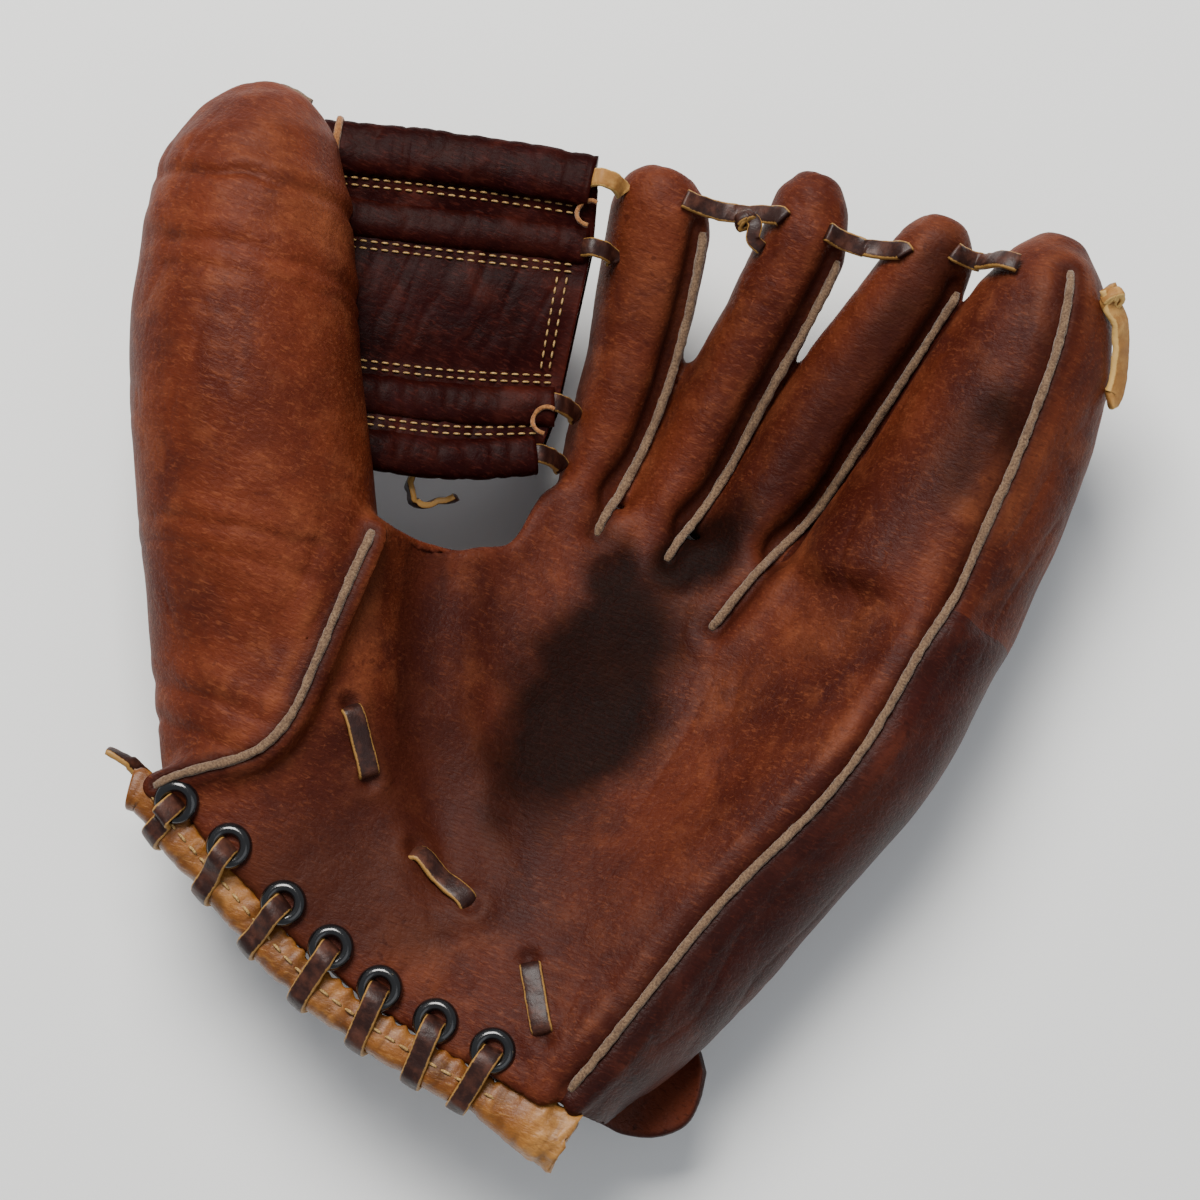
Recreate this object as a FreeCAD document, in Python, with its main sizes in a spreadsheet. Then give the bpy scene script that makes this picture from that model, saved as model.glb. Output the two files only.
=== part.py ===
"""A five-finger fielder's glove lying on its back, palm up.

+Z is up, +Y points to the fingertips and the thumb is on the -X side. Plan positions
below are written from the middle of the palm and moved to the row's origin by the
two origin_shift cells. All lengths are in millimetres.
"""
import FreeCAD, Part
import math
import os

os.makedirs("parts", exist_ok=True)
doc = FreeCAD.newDocument("fielders_glove")
V = FreeCAD.Vector

# ---------------------------------------------------------------- sizes
SIZES = {
    "leather": 2.2,
    "lining": 1.4,
    "felt": 3.0,
    "heel_padding": 6.5,
    "layer_gap": 0.25,
    "welt_radius": 1.7,
    "tip_welt_radius": 1.9,
    "lace_half_width": 3.0,
    "lace_half_thickness": 0.95,
    "eyelet_ring_radius": 4.2,
    "eyelet_wire_radius": 1.6,
    "binding_half_width": 5.7,
    "binding_half_height": 6.3,
    "strap_thickness": 3.0,
    "strap_half_width": 16.5,
    "seam_half_gap": 2.2,
    "cavity_half_height": 12.0,
    "thumb_fold_x": -64.0,
    "thumb_fold_z": 79.0,
    "body_gap": 0.35,
    "web_roll_half_width": 6.3,
    "web_roll_half_height": 4.6,
    "origin_shift_x": 22.97,
    "origin_shift_y": 4.49,
}
sheet = doc.addObject("Spreadsheet::Sheet", "Sizes")
for row, (alias, value) in enumerate(SIZES.items(), start=1):
    sheet.set(f"A{row}", alias)
    sheet.set(f"B{row}", str(value))
    sheet.setAlias(f"B{row}", alias)
doc.recompute()


def size(alias):
    return float(getattr(sheet, alias))


def at(x, y, z):
    """A point given from the middle of the palm, in the row's frame."""
    return V(x + size("origin_shift_x"), y + size("origin_shift_y"), z)


# Finger stalls: stations across the finger as (y, centre x, half width, centre z, half height).
FINGERS = {
    "index": [
        (28.3, -17.5, 10.8, 19.0, 18.5),
        (45, -17.0, 12.3, 20.3, 20.2),
        (67, -18.0, 13.3, 28.0, 19.0),
        (93, -22.0, 15.0, 42.0, 15.5),
        (106, -24.5, 15.0, 50.0, 13.0),
        (113, -25.5, 12.5, 54.0, 10.0),
        (118, -26.0, 7.0, 56.0, 5.5),
    ],
    "middle": [
        (28.3, 5.0, 10.3, 19.0, 18.6),
        (45, 7.5, 11.2, 20.3, 20.2),
        (67, 9.0, 12.0, 28.0, 19.0),
        (93, 13.0, 12.3, 42.0, 15.5),
        (112, 14.8, 12.6, 52.0, 13.0),
        (124, 13.5, 11.0, 57.0, 10.0),
        (131, 13.0, 6.0, 59.0, 5.0),
    ],
    "ring": [
        (28.3, 29.8, 13.0, 20.5, 19.0),
        (45, 32.5, 12.9, 21.5, 20.5),
        (67, 37.0, 13.7, 29.0, 19.5),
        (93, 43.0, 14.0, 42.0, 16.0),
        (112, 48.3, 12.9, 52.0, 13.0),
        (125, 50.0, 11.0, 58.0, 10.0),
        (132, 50.0, 6.0, 60.0, 5.0),
    ],
    "pinky": [
        (28.3, 77.7, 33.0, 37.0, 30.0),
        (45, 79.7, 31.8, 38.5, 30.0),
        (67, 82.5, 29.2, 43.0, 28.5),
        (88, 84.2, 26.6, 50.0, 25.0),
        (105, 85.0, 23.6, 56.0, 21.5),
        (120, 84.0, 18.6, 61.0, 17.0),
        (130, 82.5, 13.0, 63.0, 11.5),
        (138, 82.0, 6.0, 64.0, 5.0),
    ],
}
# Room for each finger: stations as (y, centre x, half width); its height follows the back.
FINGER_ROOMS = {
    "index": [(27.9, -17.5, 7.6), (45, -17.0, 9.2), (67, -18.0, 10.0), (84, -20.5, 9.6)],
    "middle": [(27.9, 5.0, 7.4), (45, 7.5, 8.3), (67, 9.0, 9.0), (88, 12.0, 8.8)],
    "ring": [(27.9, 29.8, 9.4), (45, 32.5, 9.6), (67, 37.0, 9.8), (86, 41.3, 9.4)],
    "pinky": [(27.9, 74.0, 13.0), (45, 77.5, 12.5), (67, 81.5, 12.0), (86, 84.0, 10.5)],
}
# The thumb stall: (distance along it, centre across, half width, centre z, half height).
THUMB_BASE = (-85.0, -60.0)
THUMB_ALONG = (-0.44, 0.898)
THUMB_ACROSS = (0.898, 0.44)
THUMB = [
    (-36, 10.0, 28.5, 52.0, 14.5),
    (-15, 11.5, 31.0, 51.0, 22.0),
    (5, 12.0, 32.5, 50.0, 26.0),
    (35, 11.5, 32.5, 57.0, 29.0),
    (70, 10.5, 32.0, 64.0, 30.0),
    (100, 12.0, 31.0, 68.0, 29.5),
    (125, 14.0, 28.5, 71.0, 27.0),
    (143, 16.5, 23.5, 72.0, 22.0),
    (154, 18.5, 15.5, 72.0, 14.5),
    (160, 19.5, 7.0, 72.0, 6.5),
]
THUMB_ROOM = [
    (-40, 10.0, 26.0, 40.0, 15.0),
    (-15, 11.5, 26.0, 43.0, 15.0),
    (8, 14.0, 22.0, 44.0, 15.0),
    (35, 11.0, 17.0, 48.0, 13.5),
    (60, 10.5, 15.5, 54.0, 13.0),
    (84, 11.0, 14.5, 59.0, 12.5),
]
# Palm: rows at a fixed y of (x, z) on the leather's face, from the thumb to the little finger.
PALM = [
    (28, [(-64, 48), (-40, 43), (-15, 38), (10, 37), (36, 41), (62, 55), (88, 70)]),
    (0, [(-64, 66), (-45, 49), (-20, 38.5), (8, 37.5), (33, 41), (58, 54), (84, 68.5)]),
    (-30, [(-64, 74.5), (-48, 57), (-28, 44), (-2, 38), (28, 42), (53, 56), (77, 67.5)]),
    (-60, [(-64, 74.5), (-48, 63), (-28, 51), (-5, 44), (20, 47), (42, 58), (64, 66)]),
    (-90, [(-93, 67), (-66, 66), (-42, 61), (-15, 55.5), (10, 55), (32, 60), (54, 66)]),
    (-120, [(-103, 58), (-66, 61), (-38, 61.5), (-14, 60), (8, 59.5), (27, 62), (45, 65)]),
    (-148, [(-90, 54), (-56, 57), (-28, 57.5), (-5, 58), (10, 59), (23, 60.5), (36, 62)]),
]
# Outer side below the little finger: rows of (x, z) from the palm seam down to the back.
SIDE = [
    (28, [(88, 70), (104, 62), (111, 45), (108, 27), (98, 13)]),
    (0, [(84, 68.5), (99, 60), (106, 42), (103, 24), (92, 11)]),
    (-30, [(77, 67.5), (92, 58), (99, 40), (95, 22), (84, 9)]),
    (-60, [(64, 66), (80, 56), (88, 38), (84, 21), (73, 10)]),
    (-90, [(54, 66), (69, 56), (77, 40), (75, 28), (69, 19)]),
    (-120, [(45, 65), (57, 56), (62, 42), (61, 33), (58, 26)]),
    (-134.5, [(40.5, 63.3), (49.5, 55.2), (53.8, 43.7), (53.2, 36.3), (51.5, 30)]),
]
# Back: rows of (x, z) on the leather's lower face, from the thumb to the outer side.
BACK = [
    (28, [(-63.5, 12), (-46, 1), (-15, -0.5), (20, -0.5), (60, 0.8), (85, 5.5), (96.5, 11)]),
    (0, [(-63.5, 11), (-46, 0.5), (-15, -0.5), (20, -0.5), (50, 0), (75, 3), (90.5, 9)]),
    (-30, [(-63.5, 11), (-46, 1), (-15, -0.5), (15, -0.5), (42, 0), (66, 2), (82.5, 7)]),
    (-55, [(-63.5, 13), (-46, 4), (-20, 1.5), (10, 1), (35, 2), (55, 4), (74, 9)]),
]
# Heel: the outer edge of the binding, in plan.
HEEL = [(-98, -100), (-81, -111), (-63, -119.5), (-43, -130), (-19, -137.5), (3, -141.5), (20, -143.5), (48, -147)]
HEEL_Z = [60.0, 57.0, 55.5, 54.5, 54.0, 54.0, 54.0, 54.0]
EYELETS = [(-82.5, -96), (-65, -101.5), (-46, -110), (-30, -116), (-14, -121), (3, -123.5), (20, -125)]
# The open gap between thumb and index finger, in plan, cut through palm and back.
CROTCH = [(-80, -5.5), (-64, -5.5), (-52, -4.5), (-42, -1.5), (-30, 5.5), (-28.6, 11), (-28.6, 40), (-80, 40)]


# ---------------------------------------------------------------- geometry helpers
def offset_line(points, distance):
    """Move an open plan polyline sideways, to the left of its direction."""
    moved = []
    for k, (x, y) in enumerate(points):
        x0, y0 = points[max(k - 1, 0)]
        x1, y1 = points[min(k + 1, len(points) - 1)]
        length = math.hypot(x1 - x0, y1 - y0)
        moved.append((x - (y1 - y0) / length * distance, y + (x1 - x0) / length * distance))
    return moved


def prism(points, low=-50.0, high=200.0):
    """A vertical prism over a plan polygon."""
    corners = [at(x, y, low) for x, y in points]
    face = Part.Face(Part.makePolygon(corners + corners[:1]))
    return face.extrude(V(0, 0, high - low))


def oval(centre, across, half_width, half_height, count=20):
    """A closed smooth oval in the vertical plane that holds the across direction."""
    points = []
    for k in range(count):
        angle = 2 * math.pi * k / count
        step = V(across[0], across[1], 0) * (half_width * math.cos(angle))
        points.append(centre + step + V(0, 0, half_height * math.sin(angle)))
    curve = Part.BSplineCurve()
    curve.interpolate(Points=points, PeriodicFlag=True)
    return Part.Wire([curve.toShape()])


def loft(sections):
    """A closed solid through (centre, across, half width, half height) sections."""
    return Part.makeLoft([oval(*section) for section in sections], True, True)


def stall_sections(stations, inset, start_back=0.0, tip_back=0.0):
    """Sections of a finger stall, moved in by a thickness all round."""
    sections = []
    for k, (y, x, half_width, z, half_height) in enumerate(stations):
        along = y
        if k == 0:
            along = y - start_back
        if k == len(stations) - 1:
            along = y - tip_back
        sections.append((at(x, along, z), (1, 0), max(half_width - inset, 1.0), max(half_height - inset, 1.0)))
    return sections


def thumb_point(along, across, z):
    x = THUMB_BASE[0] + THUMB_ALONG[0] * along + THUMB_ACROSS[0] * across
    y = THUMB_BASE[1] + THUMB_ALONG[1] * along + THUMB_ACROSS[1] * across
    return at(x, y, z)


def thumb_sections(stations, inset, start_back=0.0, tip_back=0.0):
    sections = []
    for k, (along, across, half_width, z, half_height) in enumerate(stations):
        if k == 0:
            along -= start_back
        if k == len(stations) - 1:
            along -= tip_back
        centre = thumb_point(along, across, z)
        sections.append((centre, THUMB_ACROSS, max(half_width - inset, 1.0), max(half_height - inset, 1.0)))
    return sections


def grid_of(rows):
    return [[at(x, y, z) for x, z in row] for y, row in rows]


def moved_in(grid, distance, inward):
    """Move a grid of points along its own normals, to the side that inward points to."""
    out = []
    for i, row in enumerate(grid):
        line = []
        for j, point in enumerate(row):
            along = grid[min(i + 1, len(grid) - 1)][j] - grid[max(i - 1, 0)][j]
            over = row[min(j + 1, len(row) - 1)] - row[max(j - 1, 0)]
            normal = along.cross(over)
            normal.normalize()
            if normal.dot(inward(point)) < 0:
                normal = normal * -1
            line.append(point + normal * distance)
        out.append(line)
    return out


def surface_through(grid):
    surface = Part.BSplineSurface()
    surface.interpolate(grid)
    return surface


def slab(grid, near, far, inward):
    """A curved sheet of leather or padding between two depths below a face."""
    outer = surface_through(moved_in(grid, near, inward))
    inner = surface_through(moved_in(grid, far, inward))
    faces = [outer.toShape(), inner.toShape()]
    u0, u1, v0, v1 = outer.bounds()
    for iso, value in (("uIso", u0), ("uIso", u1), ("vIso", v0), ("vIso", v1)):
        first = getattr(outer, iso)(value).toShape()
        second = getattr(inner, iso)(value).toShape()
        faces.append(Part.makeRuledSurface(first, second))
    shell = Part.makeShell(faces)
    shell.sewShape()
    solid = Part.makeSolid(shell)
    if solid.Volume < 0:
        solid.reverse()
    return solid


def down(point):
    return V(0, 0, -1)


def up(point):
    return V(0, 0, 1)


def toward_palm_middle(point):
    return at(20, point.y - size("origin_shift_y"), 38) - point


def add(label, shape):
    """Keep a free-form soft piece, made from the sheet's sizes, under its own name."""
    piece = doc.addObject("Part::Feature", label)
    solids = shape.Solids
    piece.Shape = solids[0] if len(solids) == 1 else Part.makeCompound(solids)
    return piece


def sweep(label, points, wide, thick, side):
    """A lace, welt or roll: an oval swept along a smooth line, its size bound to the sheet."""
    path = doc.addObject("Part::Feature", label + "_path")
    curve = Part.BSplineCurve()
    curve.interpolate(points)
    path.Shape = Part.Wire([curve.toShape()])
    tangent = curve.tangent(curve.FirstParameter)[0]
    flat = side - tangent * side.dot(tangent)
    flat.normalize()
    normal = tangent.cross(flat)
    section = doc.addObject("Part::Ellipse", label + "_section")
    section.setExpression("MajorRadius", f"Sizes.{wide}")
    section.setExpression("MinorRadius", f"Sizes.{thick}")
    turn = FreeCAD.Rotation(flat, normal, tangent, "XYZ")
    section.Placement = FreeCAD.Placement(points[0], turn)
    body = doc.addObject("Part::Sweep", label)
    body.Sections = [section]
    body.Spine = (path, ["Edge1"])
    body.Solid = True
    body.Frenet = False
    return body


def group(label, members):
    """Several like pieces kept as one node."""
    whole = doc.addObject("Part::Compound", label)
    whole.Links = members
    return whole


def between(stations, y):
    """Interpolated (centre x, half width, centre z, half height) of a finger at y."""
    for first, second in zip(stations, stations[1:]):
        if y <= second[0]:
            share = (y - first[0]) / (second[0] - first[0])
            return [a + (b - a) * share for a, b in zip(first[1:], second[1:])]
    return list(stations[-1][1:])


def on_finger(name, y, degrees, out):
    """A point off a finger's surface: 0 degrees is its +X side and 90 its palm side."""
    x, half_width, z, half_height = between(FINGERS[name], y)
    angle = math.radians(degrees)
    normal = V(math.cos(angle) / half_width, 0, math.sin(angle) / half_height)
    normal.normalize()
    return at(x + half_width * math.cos(angle), y, z + half_height * math.sin(angle)) + normal * out


nodes = []


def keep(piece):
    nodes.append(piece)
    return piece


leather = size("leather")
layer_gap = size("layer_gap")
felt_top = leather + layer_gap
felt_bottom = felt_top + size("felt")
heel_top = felt_bottom + layer_gap
heel_bottom = heel_top + size("heel_padding")
palm_grid = grid_of(PALM)
palm_face = surface_through(palm_grid)


def on_palm(x, y, above):
    """A point over the palm leather."""
    point = at(x, y, 50)
    for _ in range(12):
        u, v = palm_face.parameter(point)
        point.z = palm_face.value(u, v).z
    return point + V(0, 0, above)


# ---------------------------------------------------------------- regions that part the layers
fold_x = size("thumb_fold_x")
half_gap = size("body_gap")
thumb_side = prism([
    (fold_x - half_gap, 220), (fold_x - half_gap, -69.0), (-98.8, -97.0), (-230, -97.0), (-230, 220),
])
thumb_side_wide = prism([
    (fold_x + half_gap, 220), (fold_x + half_gap, -69.4), (-98.4, -97.8), (-230, -97.8), (-230, 220),
])
heel_inner = offset_line(HEEL, 2 * size("binding_half_width") + 0.4)
inside_heel = prism([(-140, heel_inner[0][1] + 24)] + heel_inner + [(90, -148), (160, 60), (-140, 60)])
crotch_gap = prism(CROTCH)
ridge = [(row[-1][0], y) for y, row in PALM]
seam_gap = size("seam_half_gap")
front_of_heel = prism([(-200, -60), (200, -60), (200, 27.9), (-200, 27.9)])
behind_palm = prism([(-200, -60.3), (200, -60.3), (200, -160), (-200, -160)])
below_floor = prism([(-300, -300), (300, -300), (300, 300), (-300, 300)], -60.0, 0.0)
palm_of_ridge = prism([(x - seam_gap, y) for x, y in ridge] + [(-200, -148), (-200, 28)])
side_of_ridge = prism([(x + seam_gap, y) for x, y in ridge] + [(200, -148), (200, 28)])


def palm_layer(near, far):
    """One layer of the palm, trimmed to the seams and edges round it."""
    layer = slab(palm_grid, near, far, down)
    layer = layer.common(inside_heel).common(palm_of_ridge)
    return layer.cut(thumb_side_wide).cut(crotch_gap)


# ---------------------------------------------------------------- hand
liner_top = heel_bottom + layer_gap
keep(add("palm_panel", palm_layer(0.0, leather)))
keep(add("palm_felt", palm_layer(felt_top, felt_bottom)))
keep(add("heel_pad", palm_layer(heel_top, heel_bottom).common(behind_palm)))
keep(add("palm_liner", palm_layer(heel_top, heel_top + size("lining")).common(front_of_heel)))
keep(add("heel_liner", palm_layer(liner_top, liner_top + size("lining")).common(behind_palm)))

side_grid = grid_of(SIDE)
side_panel = slab(side_grid, 0.0, leather, toward_palm_middle)
keep(add("outer_side_panel", side_panel.common(side_of_ridge)))
side_pad = slab(side_grid, felt_top, felt_top + 4.5, toward_palm_middle)
above_wrist = prism([(-200, -118), (200, -118), (200, 27.9), (-200, 27.9)])
keep(add("outer_side_pad", side_pad.common(side_of_ridge).common(above_wrist)))
side_zone = slab(side_grid, -0.6, felt_top + 4.8, toward_palm_middle)

back_grid = grid_of(BACK)
back_panel = slab(back_grid, 0.0, leather + 0.6, up).cut(below_floor)
keep(add("back_panel", back_panel.cut(crotch_gap).cut(thumb_side_wide).cut(side_zone)))
back_liner = slab(back_grid, felt_top + 0.6, felt_top + 0.6 + size("lining"), up)
keep(add("back_liner", back_liner.cut(crotch_gap).cut(thumb_side_wide).cut(side_zone)))

gusset_line = [(-63.4, -6.0), (-52.3, -5.0), (-42.4, -2.1), (-31.0, 4.4), (-28.2, 10.5), (-28.2, 27.8)]
gusset_low = [17.0, 9.0, 6.0, 4.6, 4.6, 4.6]
gusset_high = [56.0, 42.0, 34.0, 29.0, 28.0, 27.5]
gusset_grid = []
for share in (0.0, 0.5, 1.0):
    gusset_grid.append([
        at(x, y, low + (high - low) * share)
        for (x, y), low, high in zip(gusset_line, gusset_low, gusset_high)
    ])
keep(add("crotch_gusset", slab(gusset_grid, 0.0, size("lining"), lambda p: at(0, -25, p.z) - p)))

# ---------------------------------------------------------------- finger stalls
behind_stalls = prism([(-200, 28.3), (200, 28.3), (200, 0), (-200, 0)])
for name, stations in FINGERS.items():
    shell = loft(stall_sections(stations, 0.0)).cut(
        loft(stall_sections(stations, leather, start_back=2.0, tip_back=2.5)))
    profile = [at(-300, y, z) for y, _, _, z, _ in stations]
    first, last = profile[0], profile[-1]
    outline = [V(first.x, first.y - 20, first.z)] + profile + [V(last.x, last.y + 20, last.z)]
    outline += [V(last.x, last.y + 20, 200), V(first.x, first.y - 20, 200)]
    palm_half = Part.Face(Part.makePolygon(outline + outline[:1])).extrude(V(700, 0, 0))
    keep(add(name + "_front", shell.common(palm_half)))
    keep(add(name + "_back", shell.cut(palm_half)))
    room = []
    for y, x, half_width in FINGER_ROOMS[name]:
        _, _, z, half_height = between(stations, max(y, stations[0][0]))
        low = z - half_height + leather + layer_gap + 1.5
        room.append((at(x, y, low + size("cavity_half_height")), (1, 0), half_width, size("cavity_half_height")))
    padding = loft(stall_sections(stations, leather + layer_gap, start_back=2.0, tip_back=4.5))
    keep(add(name + "_stall_pad", padding.cut(loft(room)).cut(behind_stalls)))

# ---------------------------------------------------------------- thumb
thumb_shell = loft(thumb_sections(THUMB, 0.0)).cut(
    loft(thumb_sections(THUMB, leather, start_back=2.0, tip_back=2.5)))
thumb_shell = thumb_shell.cut(loft(thumb_sections(THUMB_ROOM, 0.0))).common(thumb_side)
split = [thumb_point(along, 60, z) for along, _, _, z, _ in THUMB]
split = [thumb_point(-60, 60, THUMB[0][3])] + split + [thumb_point(190, 60, THUMB[-1][3])]
split += [thumb_point(190, 60, 200), thumb_point(-60, 60, 200)]
across = V(THUMB_ACROSS[0], THUMB_ACROSS[1], 0)
thumb_palm_half = Part.Face(Part.makePolygon(split + split[:1])).extrude(across * -140)
keep(add("thumb_front", thumb_shell.common(thumb_palm_half)))
keep(add("thumb_back", thumb_shell.cut(thumb_palm_half)))
thumb_padding = loft(thumb_sections(THUMB, leather + layer_gap, start_back=0.0, tip_back=4.5))
keep(add("thumb_stall_pad", thumb_padding.cut(loft(thumb_sections(THUMB_ROOM, 0.0))).common(thumb_side)))
tip_line = []
for along, across_by in ((139, -11.6), (149, -5.2), (156, 0.6), (162.5, 10.4), (163.2, 19.5), (162.5, 28.7), (156.3, 36.6)):
    tip_line.append(thumb_point(along, across_by, 72.0))
keep(sweep("thumb_tip_welt", tip_line, "tip_welt_radius", "tip_welt_radius", V(0, 0, 1)))

# ---------------------------------------------------------------- welts
off_welt = size("welt_radius") + 0.6


def welt(label, points):
    return keep(sweep(label, points, "welt_radius", "welt_radius", V(0, 0, 1)))


welt("index_welt", [on_palm(-8.5, 18, off_welt), on_palm(-8.3, 26.5, off_welt)] +
     [on_finger("index", y, 42, off_welt) for y in (39, 48, 67, 93, 106)])
welt("middle_welt", [on_palm(12.5, 18, off_welt), on_palm(13.2, 26.5, off_welt)] +
     [on_finger("middle", y, 40, off_welt) for y in (39, 48, 67, 93, 112)])
welt("ring_welt", [on_palm(31, 4, off_welt), on_palm(38.3, 27.6, off_welt + 0.5)] +
     [on_finger("ring", y, 38, off_welt) for y in (44, 67, 93, 116)])
outer_line = [at(x, y, row[-1][1] + 1.1) for (x, y), (_, row) in zip(ridge[1:-1], PALM[1:-1])][::-1]
outer_line = [at(41, -131, 64.0)] + outer_line + [at(86.8, 20, 70.8), on_finger("pinky", 33, 71, off_welt)]
outer_line += [on_finger("pinky", y, 72 + (y - 45) * 0.1, off_welt) for y in (45, 67, 88, 105, 120, 130)]
welt("pinky_welt", outer_line)
welt("thumb_welt", [at(fold_x + half_gap + 2.1, y, z) for y, z in ((-9, 75), (-25, 77), (-45, 77.2), (-60, 77))]
     + [at(-65.5, -74.5, 75.8), at(-78, -84.6, 73.2), at(-90, -94.8, 70.1)])

# ---------------------------------------------------------------- heel binding, eyelets and laces
binding_line = offset_line(HEEL, size("binding_half_width"))
binding_points = [at(x, y, z) for (x, y), z in zip(binding_line, HEEL_Z)]
keep(sweep("heel_binding", binding_points, "binding_half_height", "binding_half_width", V(0, 0, 1)))

rings = []
for k, (x, y) in enumerate(EYELETS):
    ring = doc.addObject("Part::Torus", f"eyelet_{k + 1}")
    ring.setExpression("Radius1", "Sizes.eyelet_ring_radius")
    ring.setExpression("Radius2", "Sizes.eyelet_wire_radius")
    ring.Placement = FreeCAD.Placement(on_palm(x, y, size("eyelet_wire_radius") + 1.1), FreeCAD.Rotation())
    rings.append(ring)
keep(group("heel_eyelets", rings))


def heel_at(x):
    """The heel's outer y and the binding's height at x, and how much its slant widens it along y."""
    for (x0, y0), (x1, y1), z0, z1 in zip(HEEL, HEEL[1:], HEEL_Z, HEEL_Z[1:]):
        if x <= x1:
            share = (x - x0) / (x1 - x0)
            return y0 + (y1 - y0) * share, z0 + (z1 - z0) * share, math.hypot(x1 - x0, y1 - y0) / (x1 - x0)
    return HEEL[-1][1], HEEL_Z[-1], 1.0


off_lace = size("lace_half_thickness") + 0.5
wraps = []
for k, (x, y) in enumerate(EYELETS):
    edge_y, edge_z, lean = heel_at(x - 1)
    edge_z = heel_at(x - 1 - size("lace_half_width"))[1]
    tall = size("binding_half_height") + off_lace + 0.5
    wide = size("binding_half_width") * lean
    line = [
        at(x, y - 7.2, edge_z + tall + 2.4),
        at(x - 0.6, min(edge_y + wide + 0.5, y - 9.0), edge_z + tall + 0.4),
        at(x - 0.9, edge_y + 0.3 * wide - 0.7 * off_lace, edge_z + 0.74 * tall + 0.5),
        at(x - 1.2, edge_y - off_lace * lean - 0.3, edge_z + 2.5),
        at(x - 1.2, edge_y - off_lace * lean - 0.6, edge_z - 3.0),
        at(x - 1.6, edge_y + wide, edge_z - tall - 0.8),
    ]
    wraps.append(sweep(f"heel_wrap_{k + 1}", line, "lace_half_width", "lace_half_thickness", V(1, 0, 0)))
keep(group("heel_lace", wraps))

spans = []
for k, (start, end) in enumerate((((-50, -54), (-37.5, -71)), ((-20, -82), (0, -91)), ((19, -98), (31, -117)))):
    line = []
    for share in (0.0, 0.33, 0.67, 1.0):
        x = start[0] + (end[0] - start[0]) * share
        y = start[1] + (end[1] - start[1]) * share
        line.append(on_palm(x, y, off_lace + 0.4))
    sideways = V(end[1] - start[1], start[0] - end[0], 0)
    spans.append(sweep(f"palm_lace_{k + 1}", line, "lace_half_width", "lace_half_thickness", sideways))
keep(group("palm_laces", spans))


def lace(label, points, side):
    return sweep(label, points, "lace_half_width", "lace_half_thickness", side)


keep(lace("tip_lace_index_middle", [
    on_finger("index", 110, 68, 2.2), on_finger("index", 111, 30, 3.0), on_finger("middle", 114, 150, 3.2),
    on_finger("middle", 115, 118, 2.2)], V(0, 1, 0)))
keep(lace("tip_lace_middle_ring", [
    on_finger("middle", 115, 62, 2.2), on_finger("middle", 116, 28, 3.2), on_finger("ring", 117, 152, 3.2),
    on_finger("ring", 118, 118, 2.2)], V(0, 1, 0)))
keep(lace("tip_lace_ring_pinky", [
    on_finger("ring", 122, 66, 2.8), on_finger("ring", 123, 30, 4.2), on_finger("pinky", 123, 150, 4.0),
    on_finger("pinky", 123, 126, 2.4)], V(0, 1, 0)))
keep(lace("pinky_lace_tail", [
    on_finger("pinky", 124, 52, 2.2), on_finger("pinky", 122, 30, 4.0), on_finger("pinky", 116, 20, 3.4),
    on_finger("pinky", 108, 17, 2.6), on_finger("pinky", 101, 17, 2.2)], V(0, 1, 0)))

# ---------------------------------------------------------------- wrist strap
STRAP = [(-84, 33), (-74, 15), (-52, 2.5), (-15, 0), (20, 0), (46, 5), (62, 17), (69, 34)]
strap_grid = []
for edge in (-1, 0, 1):
    line = []
    for x, z in STRAP:
        share = (x - STRAP[0][0]) / (STRAP[-1][0] - STRAP[0][0])
        y = -91 - 28 * share + edge * size("strap_half_width") * (0.8 + 0.2 * share)
        lean = 0.42 * edge * size("strap_half_width") * max(share - 0.6, 0) / 0.4
        line.append(at(x + lean, y, z))
    strap_grid.append(line)
strap = slab(strap_grid, 0.0, size("strap_thickness"), lambda p: V(size("origin_shift_x") - 5 - p.x, 0, 60 - p.z))
keep(add("wrist_strap", strap.cut(below_floor)))
keep(lace("strap_lace", [
    at(-110, -89, 41), at(-102, -90, 40), at(-95, -93, 36), at(-90.5, -98, 30)], V(0, 1, 0.4)))

# ---------------------------------------------------------------- web
WEB_ROWS = {
    "web_top_roll": ((-109, 88, 61), (-77, 97, 61), (-46, 103, 62)),
    "web_upper_roll": ((-99.5, 73.5, 57), (-71, 81.5, 56), (-43, 89, 55)),
    "web_lower_roll": ((-78, 29, 53), (-57, 35.5, 50), (-36.5, 43.5, 48.5)),
    "web_bottom_roll": ((-71.5, 14.8, 53), (-53, 20.5, 49), (-35, 29.5, 46.5)),
}
for label, row in WEB_ROWS.items():
    keep(sweep(label, [at(*point) for point in row], "web_roll_half_width", "web_roll_half_height", V(0, 1, 0)))
WEB_PANEL = [
    ((-95, 65, 57), (-68, 73, 56), (-41.5, 81.5, 54)),
    ((-88, 50.5, 56), (-64, 58, 54.5), (-39, 66.5, 52)),
    ((-82, 37, 55), (-60, 43.5, 52), (-37.5, 51.5, 50)),
]
web_grid = [[at(*point) for point in row] for row in WEB_PANEL]
keep(add("web_front_panel", slab(web_grid, 0.0, leather, down)))
WEB_BACKING = [
    ((-100, 86, 53), (-73, 95, 53), (-46, 100, 53)),
    ((-86, 58, 49), (-64, 66, 48), (-42, 75, 46.5)),
    ((-76, 33, 46), (-57, 41, 43.5), (-38, 48, 41.5)),
    ((-66, 14, 45), (-51, 20, 42), (-36, 29, 39.5)),
]
backing_grid = [[at(*point) for point in row] for row in WEB_BACKING]
keep(add("web_back_panel", slab(backing_grid, 0.0, leather, down)))
ties = []
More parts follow.
